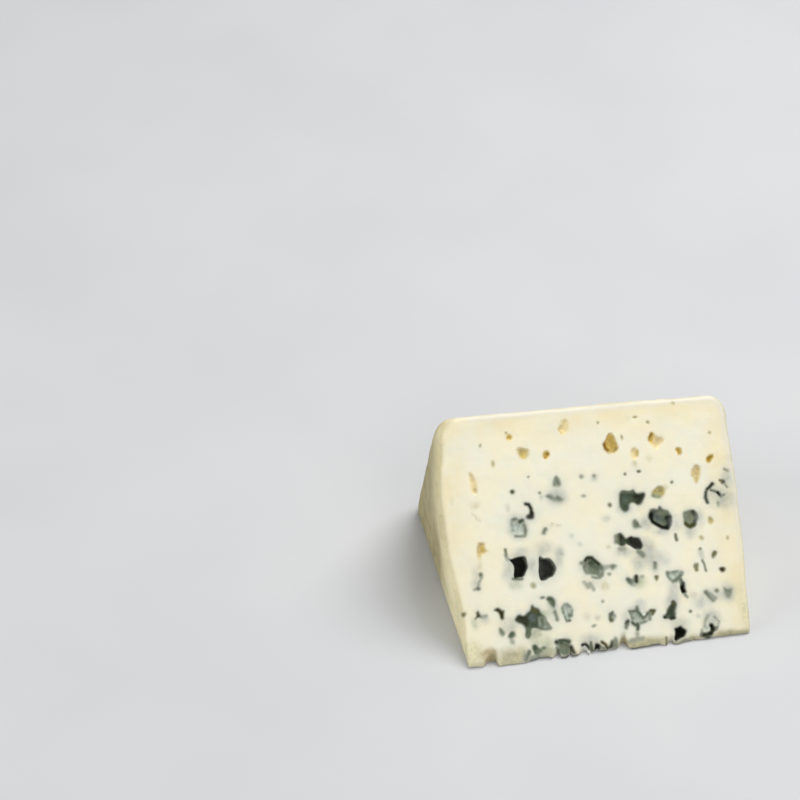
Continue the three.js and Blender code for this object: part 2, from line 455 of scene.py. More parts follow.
# A kind of spot: its colour, how far it covers what it lies on, how soft its edge is in millimetres,
# and how much grey bloom there is round it.
Kind = namedtuple("Kind", "colour cover soft bloom")
KINDS = {
    "cave": Kind(linear(64, 65, 58), 1.0, 0.45, 0.8),
    "charcoal": Kind(linear(88, 90, 83), 1.0, 0.45, 0.8),
    "charcoal_light": Kind(linear(108, 110, 101), 0.9, 0.8, 0.0),
    "coal": Kind(linear(52, 55, 43), 0.9, 0.9, 0.0),
    "black": Kind(linear(24, 26, 19), 1.0, 0.5, 0.8),
    "ink": Kind(linear(44, 47, 36), 0.95, 0.6, 0.8),
    "dark": Kind(linear(58, 62, 47), 1.0, 0.6, 0.7),
    "pine": Kind(linear(90, 103, 89), 0.9, 1.0, 0.0),
    "green": Kind(linear(76, 87, 69), 1.0, 0.6, 0.8),
    "sage": Kind(linear(140, 148, 124), 1.0, 0.6, 0.7),
    "sage_dark": Kind(linear(104, 117, 92), 1.0, 0.65, 0.6),
    "mid": Kind(linear(112, 121, 101), 1.0, 0.65, 0.8),
    "slate": Kind(linear(106, 114, 108), 0.9, 0.9, 0.0),
    "grey": Kind(linear(138, 145, 126), 1.0, 0.7, 0.6),
    "ash": Kind(linear(194, 202, 189), 1.0, 0.6, 0.5),
    "ash_mid": Kind(linear(174, 182, 168), 1.0, 0.6, 0.5),
    "ash_dark": Kind(linear(158, 167, 152), 0.9, 0.7, 0.0),
    "haze_grey": Kind(linear(154, 157, 138), 0.9, 0.7, 0.3),
    "olive_black": Kind(linear(72, 70, 38), 1.0, 0.6, 0.5),
    "olive_dark": Kind(linear(96, 94, 58), 1.0, 0.55, 0.3),
    "olive": Kind(linear(132, 130, 94), 1.0, 0.6, 0.3),
    "olive_pale": Kind(linear(158, 156, 122), 1.0, 0.6, 0.3),
    "olive_grey": Kind(linear(110, 110, 82), 0.95, 0.6, 0.2),
    "brown": Kind(linear(84, 74, 38), 1.0, 0.6, 0.3),
    "khaki": Kind(linear(196, 184, 130), 1.0, 0.6, 0.1),
    "khaki_deep": Kind(linear(178, 164, 108), 0.8, 0.9, 0.0),
    "khaki_green": Kind(linear(164, 164, 120), 0.8, 0.6, 0.0),
    "straw": Kind(linear(188, 178, 132), 0.9, 0.6, 0.0),
    "amber": Kind(linear(226, 199, 117), 1.0, 0.55, 0.0),
    "amber_olive": Kind(linear(206, 184, 106), 0.8, 0.7, 0.0),
    "amber_brown": Kind(linear(172, 140, 60), 0.85, 0.6, 0.0),
    "amber_dark": Kind(linear(112, 80, 36), 0.85, 0.6, 0.0),
    "amber_pale": Kind(linear(208, 189, 138), 0.8, 0.6, 0.0),
    "honey": Kind(linear(234, 214, 160), 0.9, 0.7, 0.0),
    "honey_deep": Kind(linear(212, 192, 134), 0.9, 0.7, 0.0),
    # tan, tan_dark and tan_olive: painted shade on the walls of the notches and along the blunt tip
    "tan": Kind(linear(174, 159, 121), 0.9, 1.2, 0.0),
    "tan_dark": Kind(linear(172, 160, 124), 0.85, 0.8, 0.0),
    "tan_olive": Kind(linear(186, 180, 146), 0.9, 2.2, 0.0),
    "haze_olive": Kind(linear(182, 184, 158), 0.85, 0.9, 0.0),
    "putty": Kind(linear(92, 94, 85), 0.9, 0.4, 0.0),
    "white": Kind(linear(238, 240, 230), 0.9, 0.5, 0.0),
    "mist": Kind(linear(174, 180, 172), 0.62, 1.7, 0.0),
    "mist_thin": Kind(linear(196, 201, 193), 0.55, 1.8, 0.0),
    "mist_dark": Kind(linear(150, 155, 140), 0.8, 0.8, 0.0),
    "olive_mist": Kind(linear(172, 182, 150), 0.72, 1.4, 0.0),
    "straw_mist": Kind(linear(200, 194, 152), 0.6, 0.9, 0.0),
    "straw_soft": Kind(linear(218, 212, 174), 0.75, 2.4, 0.0),
    "mauve": Kind(linear(190, 182, 168), 0.6, 1.0, 0.0),
}

# What is drawn on the sloping face, by the part of it. First the clouding of the paste round the
# spots: a kind, and the shapes that it fills.
CLOUDS = {
    "round the twin caves": [
        ("mist", stroke(4.5, (509, 566), (508, 578))),
        ("olive_mist", oval(516, 585, 5, 4)),
        ("mist", oval(533, 566, 4, 9), oval(559, 560, 3.5, 6)),
        ("mauve", oval(562, 555.3, 1.7, 2.6)),
    ],
    "middle": [
        ("mist", oval(588, 584.5, 7, 4)),
        ("straw_mist", oval(605, 586.3, 3.8, 4.2)),
        ("mist", oval(651, 556, 8, 7), oval(648, 547, 7, 8), oval(543, 548, 9, 6), oval(521, 552, 8, 4),
            oval(606, 518, 4, 3), oval(640, 562, 8, 8), oval(727, 499, 7, 10), oval(560, 551, 4, 5),
            oval(664, 559, 5, 6), oval(655, 566, 5, 6), oval(675, 589, 6, 7)),
        ("mauve", oval(693.5, 594.5, 3.8, 2.5)),
    ],
    "round the right pockets": [
        ("mist", oval(646, 524, 5.5, 6.5), oval(646, 524, 3.5, 4.5), oval(661, 532, 7, 3),
            oval(625, 506, 6, 6), oval(624, 552, 7, 5)),
    ],
    "right edge": [
        ("mist", oval(715, 496, 10, 11), oval(727, 478, 5, 9), oval(690, 533, 6, 5)),
    ],
    "lower right": [
        ("mist", oval(712, 596, 9, 8), oval(728, 592, 7, 8), oval(712, 618, 9, 8), oval(700, 603, 6, 5),
            stroke(2, (700.6, 551), (702, 557))),
    ],
    "upper left": [
        ("mist", oval(558, 497, 9, 8), oval(541.5, 497, 1.3, 1.8), oval(518, 527, 10, 12)),
        ("mauve", oval(507.7, 508, 2, 3.2)),
        ("straw_mist", stroke(1, (552, 524), (560, 526))),
    ],
    "lower left": [
        ("mist", oval(476.5, 580, 4, 10)),
        ("olive_mist", oval(475, 624, 3, 5)),
        ("mist", oval(509, 625, 8, 7), oval(484, 619, 5, 5)),
        ("olive_mist", outline((528, 637), (536, 634), (548, 636), (553, 642), (549, 648), (540, 646),
            (531, 646))),
        ("mist", oval(553, 610, 5, 8)),
    ],
    "lower middle": [
        ("mist", oval(636, 616, 12, 9), oval(590, 639, 9, 5)),
        ("mauve", oval(586, 616, 4, 3), oval(598, 618, 3, 2.5)),
        ("olive_mist", oval(640, 582, 6, 5)),
        ("mist", oval(672, 601, 6, 6), oval(681, 623, 7, 5)),
    ],
    "straw flecks": [
        ("straw_mist", oval(609, 547.5, 2.3, 2), oval(648.6, 458, 2.6, 2.6)),
        ("mist", oval(698, 616, 2, 1.3)),
        ("straw_mist", stroke(1.8, (634, 461), (635.3, 466)), oval(660, 438.5, 4, 3),
            stroke(2.1, (479.5, 559), (479.7, 568)), oval(451.6, 501, 1.3, 3.5), oval(475, 506, 3, 3),
            stroke(0.7, (472.5, 514), (475.5, 517.3), (480, 521.3)), oval(665, 486.5, 2.3, 2.3),
            oval(628, 419, 1.3, 1.3)),
        ("mist", oval(571.5, 536, 2.3, 2.3), oval(579.5, 544.5, 2.5, 2), oval(594.5, 477, 3, 3.5)),
    ],
    "tip": [
        ("straw_soft", oval(743, 607, 4, 19), outline((467, 667), (466, 645), (474, 641), (484, 650),
            (484, 667))),
        # the tans down to the stroke are painted shade on the notch walls and the blunt front of the tip
        ("tan", outline((481, 657), (481.5, 652), (485.5, 649.3), (490, 647.7), (495, 648.3), (496.7, 652),
            (497.5, 658), (496, 663.5), (486, 663.5), (482.5, 660))),
        ("tan_dark", oval(494, 655.5, 2.6, 4.5)),
        ("tan_olive", outline((498.5, 651), (510, 648.5), (524, 645.5), (528, 650), (525, 657),
            (524, 663.5), (510, 665), (499, 665.5))),
        ("tan_dark", outline((620, 642), (622, 637.5), (625, 638), (628.7, 642), (627.5, 645.5),
            (623, 643))),
        ("tan_olive", outline((627.5, 641), (633, 638.3), (645, 637), (658, 635.5), (666, 636), (668, 642),
            (660, 644.5), (645, 647), (634, 648.5), (629, 646)), outline((716, 635), (720, 630.5),
            (726, 631.3), (731, 628.5), (736, 631), (747, 629.5), (749, 633.5), (735, 636), (720, 638)),
            stroke(1.6, (691, 638), (699, 638))),
        ("olive_mist", oval(544.5, 613.5, 4, 3)),
    ],
}

# Its hollows: a kind of lining, a depth in millimetres, and the shapes of the hollows that have both.
HOLES = {
    "twin caves": [
        ("cave", 8, outline((509, 558.8), (512.5, 559), (515.5, 557.8), (519, 556.5), (525, 556.3),
            (526.7, 561), (529, 567.5), (526.3, 572), (524, 577), (519, 577.8), (516, 579.8), (514.3, 577),
            (514.7, 570), (513.5, 565))),
        ("charcoal", 7, outline((539.3, 555), (542.5, 558.3), (549, 558.5), (552.5, 561.3), (555.3, 565),
            (556.5, 568.5), (555, 572.5), (553.3, 576.3), (549.5, 577.2), (546.5, 579.5), (540.7, 581),
            (539.2, 574), (538.7, 566))),
    ],
    "bat": [
        ("green", 1.2, outline((619, 499), (618.7, 494), (621.5, 491), (624.5, 491), (627.5, 492),
            (630.5, 491.2), (632.3, 488.7), (634.7, 491.3), (636.5, 493.4), (640, 494), (644, 492.2),
            (645.3, 494.3), (644, 499), (641.5, 504.5), (638, 505.8), (634.5, 503.3), (631.3, 502.8),
            (628.8, 505), (628.6, 510.7), (625, 512.3), (621.3, 509.8), (619.8, 504))),
    ],
    "round pocket": [
        ("mid", 2, outline((650, 509.7), (653, 508.3), (658, 510), (659, 506), (661.3, 507.3), (663, 509.3),
            (667, 510.2), (670.3, 514.5), (671.3, 519), (671.3, 525), (669.2, 529), (665, 529.3),
            (660, 527.8), (656, 526), (651, 521.8), (647.8, 518.5), (648.7, 513))),
    ],
    "shield": [
        ("sage", 1.3, outline((683, 512.3), (686.5, 511.8), (690, 510), (694.3, 510.2), (696.3, 513),
            (698.5, 517.2), (697, 523.5), (694.8, 527.5), (690, 529.4), (686.7, 527), (683.3, 523.7),
            (683.8, 517))),
    ],
    "grey chip": [
        ("grey", 0.6, outline((634, 519.5), (637.5, 519.8), (639, 524), (642.5, 528), (638, 528.7),
            (634.5, 529.2), (632, 526), (632.3, 522))),
    ],
    "dumbbell": [
        ("cave", 2.5, outline((626.5, 540.5), (628.3, 537.8), (631, 535.8), (634.5, 537), (638.5, 536.8),
            (641.3, 539.5), (643.2, 543.5), (642, 548.3), (639.3, 550.3), (634.5, 549), (630, 546),
            (626.5, 544.5))),
        ("dark", 1.2, outline((616.8, 536), (620, 532.3), (623.3, 534.7), (625.5, 538.8), (626.3, 543),
            (624.8, 546.8), (620.5, 546.8), (618.3, 543.3), (617.3, 540))),
        ("green", 0.9, stroke(2.6, (624, 541.3), (628.5, 541.5))),
    ],
    "big round pocket": [
        ("mid", 1.3, outline((583.7, 560), (586.3, 556), (592, 556.2), (595.5, 559.3), (598, 562.3),
            (602, 564.3), (604.8, 567.5), (604.3, 572), (602, 577.3), (599, 578.7), (597, 576),
            (592.5, 575.5), (590, 574.6), (585, 574.2), (583.2, 570), (582.3, 565))),
    ],
    "small grey ones": [
        ("grey", 0.5, outline((608.5, 566), (611, 564.3), (616, 564.8), (616.8, 568), (613, 570.7),
            (610.5, 569))),
        ("grey", 0.8, outline((625.8, 578.3), (629, 578.3), (633, 580), (635, 576), (636.5, 573.7),
            (638.7, 578.5), (639.3, 582.7), (636, 584.2), (632.5, 586.8), (629, 585.2), (626, 581.5))),
    ],
    "triangle": [
        ("green", 1.4, outline((671.5, 601.3), (674, 600.2), (676.3, 603.3), (676, 607.5), (674.6, 610.7),
            (675.7, 614.5), (675, 618.7), (672, 619.7), (668.5, 618.2), (663.3, 618.8), (663.3, 616.5),
            (666.4, 614), (667, 609.5), (668.8, 606.5), (671, 604))),
    ],
    "cave at the tip": [
        ("black", 2, outline((674.3, 628.3), (677.5, 627.8), (680.3, 625.8), (683, 628.1), (686.7, 630.3),
            (686.3, 634), (684.5, 637.7), (681, 638.7), (678, 640.2), (675.7, 641.7), (674, 639),
            (675.5, 634))),
    ],
    "ash and black pair": [
        ("black", 1.2, stroke(2.4, (682.4, 585), (682.5, 588.5), (683.5, 591.7))),
        ("ash", 0.7, outline((666, 572.5), (669, 571.7), (677, 570.3), (682.3, 571.7), (683.3, 574.5),
            (680.5, 578.5), (682.3, 583), (680, 585.7), (676, 582), (673, 583.2), (670, 580.7),
            (668, 577.5))),
    ],
    "flecks on the right": [
        ("olive_pale", 0.7, outline((694.3, 564), (698, 563.2), (698.7, 566.5), (698.2, 571), (695, 570.7),
            (693, 567))),
        ("olive", 0.8, outline((712.7, 551.3), (715.5, 551), (716.8, 554), (715.3, 557), (713, 559.2),
            (711.3, 557))),
        ("brown", 0.9, outline((718.3, 568.7), (722, 566.7), (725.7, 568), (725.7, 571), (723, 572.8),
            (720.3, 571.5))),
        ("olive", 0.6, outline((653.7, 575.2), (658.7, 575.2), (658.3, 578.5), (656.5, 581.5),
            (654.5, 578.7))),
        ("grey", 0.5, stroke(1.5, (655, 563.5), (655, 567.5)), stroke(1.7, (705.7, 592.3), (708.5, 596.5),
            (712.7, 601))),
        ("ash_dark", 0.3, stroke(1.7, (709.5, 594.5), (714.5, 598.7))),
        ("grey", 0.4, oval(716.6, 591.3, 1.6, 1.6), outline((723.3, 587), (727, 589.3), (732.7, 587.7),
            (731.7, 593), (729, 598.5), (726, 596), (724.3, 592))),
        ("haze_grey", 0.5, stroke(1, (702.3, 560.7), (704.5, 564.5), (706, 570.7))),
        ("olive_grey", 0.4, stroke(1.2, (675.6, 535), (677, 540.3))),
    ],
    "veins on the right": [
        ("dark", 0.7, stroke(1.5, (713, 484), (710.3, 487.5), (707.3, 490))),
        ("green", 0.6, stroke(1.3, (706, 492.5), (705.2, 497.5), (707.3, 503))),
        ("mid", 0.4, stroke(0.9, (711, 490.7), (715, 491.5), (718, 493))),
        ("black", 0.5, stroke(1.1, (717.8, 492.3), (719.5, 494.7))),
        ("grey", 0.3, stroke(0.9, (720.5, 496.5), (724, 494.7))),
        ("haze_grey", 0.3, oval(718.3, 504, 1.3, 2)),
        ("black", 0.6, oval(722.6, 481.5, 2, 1.8)),
        ("olive", 0.3, stroke(0.8, (719.3, 480.2), (722, 481))),
        ("haze_grey", 0.3, stroke(0.75, (723.5, 482.8), (727, 487)), stroke(1.1, (724.7, 469),
            (728.3, 470.6))),
    ],
    "upper left": [
        ("grey", 0.5, outline((552.7, 487), (553.2, 479), (555.5, 476), (558.7, 479), (560.9, 482.5),
            (560.9, 486), (556.5, 487))),
        ("grey", 0.6, outline((545.2, 495.7), (548.3, 493.5), (552.5, 494.3), (555.5, 497.3),
            (557.5, 495.2), (560.2, 496.3), (562.2, 499), (564, 500.7), (560, 502), (554, 500.6),
            (550.3, 499))),
        ("olive_dark", 0.6, oval(512.4, 491.8, 1.7, 2)),
        ("dark", 0.8, stroke(1.6, (525.8, 504), (528.6, 504.3), (531, 508.5), (531.8, 513))),
        ("ink", 0.9, outline((526, 515.5), (529.3, 513.5), (530, 511), (534, 511), (534.8, 516),
            (533.5, 519), (530, 519.8), (526.5, 519))),
        ("ash", 1.1, outline((512.8, 518.2), (516, 517.2), (518.5, 519.7), (521.5, 518.2), (523.8, 519.3),
            (525, 524), (526.8, 529.5), (527.4, 534), (525, 537.4), (516, 537.5), (512.7, 533.7),
            (511.4, 528), (511.8, 522))),
        ("grey", 0.5, stroke(1.6, (545.8, 529.5), (543.8, 533))),
    ],
    "lower left": [
        ("olive_black", 0.7, outline((476, 613), (478.2, 611), (480, 614), (481.5, 617.5), (478, 618.3),
            (474, 620.3), (477, 616))),
        ("olive_black", 1.2, outline((493.2, 610.7), (497, 607.2), (500, 608.3), (502.5, 610.8),
            (505.3, 610.3), (504.3, 615), (503.8, 619.8), (500, 619.8), (498.9, 613.8), (496.3, 611.8))),
        ("grey", 0.7, outline((498.7, 627.8), (502, 629.3), (505.3, 633), (504.3, 637.3), (501.3, 636.8),
            (499, 633))),
        ("sage_dark", 0.8, outline((508, 637), (510.7, 631.3), (514.7, 631.2), (516.5, 635), (514.3, 638.3),
            (511, 640))),
    ],
    "cluster": [
        ("green", 1.2, outline((514.7, 619.5), (519, 614.2), (523, 616.3), (527, 612.2), (531, 609.8),
            (532, 604), (535, 607.2), (539.2, 608.3), (541.3, 613), (545.8, 617), (546.7, 620.5),
            (549.3, 624), (552.5, 629.2), (546, 630.8), (540, 630.3), (535, 627.7), (531, 629.5),
            (531.7, 634), (528.5, 639.5), (525, 635), (525.8, 629), (522, 624.2), (517.3, 621.8))),
    ],
    "beside the cluster": [
        ("sage_dark", 0.9, outline((546, 599.7), (549, 596.2), (553, 596.7), (556, 600.5), (555.6, 606),
            (553.7, 609), (550.3, 605), (548, 601.7))),
        ("mid", 0.3, oval(542.7, 598.2, 2.4, 1.5)),
        ("grey", 0.3, stroke(1.6, (555, 612), (557, 619))),
        ("ash", 0.9, outline((563.7, 603.5), (568, 603), (571.7, 605.7), (573.3, 611), (572.8, 617),
            (569.7, 621.5), (566, 621.7), (563.8, 616.5), (561.2, 611), (561.7, 606.7))),
        ("haze_grey", 0.7, outline((608.7, 612.8), (612, 611.2), (613.3, 613), (616.3, 616), (615, 619.5),
            (612.5, 621.8), (610.3, 621.8), (608.8, 617.5))),
    ],
    "checked pocket": [
        ("ink", 0.6, stroke(1.5, (628.2, 621.8), (627.2, 624.3))),
        ("ash_mid", 0.9, outline((628.2, 610.8), (635.7, 610), (637, 606), (639.3, 609), (641.3, 613.3),
            (644.5, 616.7), (648, 611.8), (650.3, 608.8), (655.5, 609.2), (653.3, 613.7), (650.5, 616),
            (650.3, 620.5), (645, 622.3), (639.7, 624.3), (638.2, 629.5), (636.3, 628), (635.3, 624.7),
            (631.7, 622.7), (631.3, 618), (628.8, 614))),
    ],
    "tip mould": [
        ("mid", 0.6, outline((554, 642.3), (556.3, 639), (559.3, 640.5), (561.5, 638.3), (568, 638.5),
            (571, 641.5), (571, 647), (571, 652), (568.7, 656), (561.8, 656), (560, 652), (559.3, 646.8),
            (556, 645.3))),
        ("sage_dark", 0.4, outline((532, 646.3), (536, 644.8), (539, 647.7), (542.3, 651), (540.5, 655),
            (536, 655), (532.6, 651))),
    ],
    "ring at the right": [
        ("black", 0.9, stroke(2.1, (711.2, 625.5), (712.7, 628.8))),
        ("ink", 0.5, stroke(1.6, (713, 629.3), (716.3, 628.5))),
        ("dark", 0.6, stroke(2.2, (703, 635), (707, 635.2), (711.3, 632.5))),
    ],
    "eyes": [
        ("amber", 2.2, outline((609, 433.2), (611.5, 433), (614, 436), (615.2, 440), (617.7, 444.5),
            (619, 448), (617, 451.3), (613, 453.4), (608.5, 452.6), (604.3, 449.7), (602.7, 446),
            (603.7, 442.5), (605.8, 438.5))),
        ("honey", 1, outline((652, 431.8), (655, 435), (658.5, 437.3), (663, 437), (664.3, 441),
            (660, 444.5), (657.2, 448.3), (655, 449.3), (652, 446.5), (649.5, 442.5))),
        ("amber", 1.2, outline((650.5, 431.2), (653, 432.7), (654, 437), (653.3, 441), (652, 444.5),
            (649.3, 442.2), (647, 439.5), (648.3, 435.5))),
        ("amber", 1, outline((675.7, 449), (678, 447.2), (680.7, 448.5), (681.3, 452), (680.3, 455.3),
            (678, 453.7), (676, 451.3)), outline((706.7, 457.5), (709.7, 455.5), (712.7, 453.7),
            (713.3, 457), (711, 461.8), (708.8, 462.2), (706.8, 460))),
        ("honey", 0.7, outline((631.6, 449.5), (635, 447.7), (637.8, 450), (638.3, 453.5), (636.2, 457.7),
            (633.3, 459.8), (631.2, 456), (631.1, 452))),
        ("honey_deep", 0.9, outline((693.2, 467.5), (696.5, 464), (699.9, 466), (700.9, 470), (700.9, 475),
            (699.2, 480), (696.5, 484), (693.8, 480), (691.7, 475), (691.7, 471))),
        ("amber", 0.9, outline((506, 437), (508, 434.2), (511, 434.2), (512.7, 437), (511.7, 440),
            (509, 440.9), (506.7, 439.7))),
        ("honey_deep", 0.8, outline((516.2, 449.3), (520, 447.9), (524.5, 448.7), (528.8, 448.8),
            (528.9, 453), (527.3, 456.7), (525, 459.7), (521.3, 458.8), (518.8, 455.7), (516.8, 452))),
        ("amber", 1, outline((542.7, 455), (543.8, 451.2), (547, 449.7), (549.7, 451.8), (550.4, 454.5),
            (548.2, 458.3), (546, 459.4), (543.7, 458.6))),
        ("honey", 0.8, outline((561, 420.5), (566, 419), (567.7, 423), (569, 429), (566.7, 431.7),
            (562.5, 436), (558.8, 432.3), (557.2, 429.5), (560.5, 425))),
        ("honey", 0.6, outline((468.2, 473.3), (472, 474.2), (475.2, 479), (477, 485), (478.3, 491),
            (476.6, 493.9), (472.3, 493.2), (471.2, 488), (470.2, 482))),
        ("honey_deep", 1.1, outline((478.7, 543), (485.3, 543), (484.8, 549), (488.5, 551.6), (485, 554.3),
            (481.3, 557), (479.5, 561.5), (476.8, 556), (477.2, 549))),
    ],
    "straw-green eyes": [
        ("khaki", 1.1, outline((651.3, 491.5), (654, 488.3), (656.5, 485.8), (660.5, 485.2), (664, 487),
            (665.8, 490.5), (664.7, 493.7), (662, 496.7), (659, 498.4), (655, 498.4), (651.8, 495.7))),
        ("khaki", 0.6, outline((708.2, 516.7), (711, 516.5), (714.5, 520), (713.3, 523.3), (711, 525),
            (708.2, 522.3))),
        ("khaki_green", 0.3, oval(533.7, 585.7, 2.8, 2.8)),
        ("olive_grey", 0.4, oval(609.6, 505, 1.7, 1.8)),
        ("olive", 0.4, oval(463.6, 614.6, 2, 2)),
    ],
    "dots": [
        ("olive_dark", 0.4, oval(638.8, 471.3, 1.8, 1.1)),
        ("olive_grey", 0.3, oval(625, 474.5, 1.2, 1.2)),
        ("olive_grey", 0.4, oval(671.5, 482.1, 1.2, 1.2)),
        ("haze_grey", 0.3, oval(594.3, 475.7, 1.4, 1.3)),
        ("haze_grey", 0.4, oval(581.6, 476.5, 1.8, 1.8)),
        ("haze_grey", 0.3, oval(583.6, 496.5, 1.8, 1.3)),
        ("olive_grey", 0.4, stroke(1.2, (504.8, 550), (506.3, 555.5))),
        ("dark", 0.4, oval(478.3, 589, 1.7, 1.6)),
        ("olive_grey", 0.4, oval(481.6, 575.5, 2.1, 2.7)),
        ("haze_grey", 0.3, oval(609.7, 574.3, 1.6, 1.6), oval(602.6, 601, 1.2, 1.1),
            oval(594, 626, 1.8, 1.3)),
        ("olive_grey", 0.3, oval(690.3, 612, 1.1, 1.1)),
        ("olive_pale", 0.3, oval(700.4, 549, 1.1, 0.9)),
        ("straw", 0.3, oval(701.7, 538, 1.7, 2.1), oval(727.6, 537.5, 1, 1.6), oval(709.7, 432.7, 1.2, 1.4),
            oval(621.6, 437.5, 1.2, 2.3), oval(480, 445.8, 0.9, 1.7), oval(493, 464, 1.7, 3.1),
            oval(597.6, 423, 0.9, 1.2), oval(506.3, 433.3, 1.2, 1)),
        ("haze_grey", 0.3, oval(540, 492.6, 1.2, 1.2), oval(528.6, 477, 0.9, 0.9)),
    ],
    "ragged tip": [
        ("black", 0.8, stroke(1.45, (582.8, 644.7), (585.5, 644.3), (587.7, 646), (589, 648.7))),
        ("black", 0.7, outline((595.3, 642.3), (600.6, 643.7), (601.8, 647.7), (598, 650.8), (593.7, 652),
            (594.6, 647.5))),
        ("olive_black", 0.5, stroke(1.3, (602.3, 642), (605.3, 644), (608.3, 648))),
        ("dark", 0.4, stroke(1.7, (612.5, 642), (611.3, 647))),
        ("grey", 0.3, outline((612.5, 640), (615, 636.5), (617.8, 639), (618, 644), (616, 648),
            (613.3, 646))),
        ("dark", 0.4, stroke(1.7, (572, 647), (574.3, 652.7))),
        ("mid", 0.4, stroke(1.2, (591, 642.5), (591.3, 648.5))),
        ("mid", 0.3, stroke(1.8, (529, 652), (526, 659))),
    ],
    "dots at the rim": [
        ("straw", 0.3, oval(635, 417.8, 1.9, 1), oval(648, 422.5, 1.2, 1.4), oval(673, 403.4, 1.3, 1.3)),
    ],
}
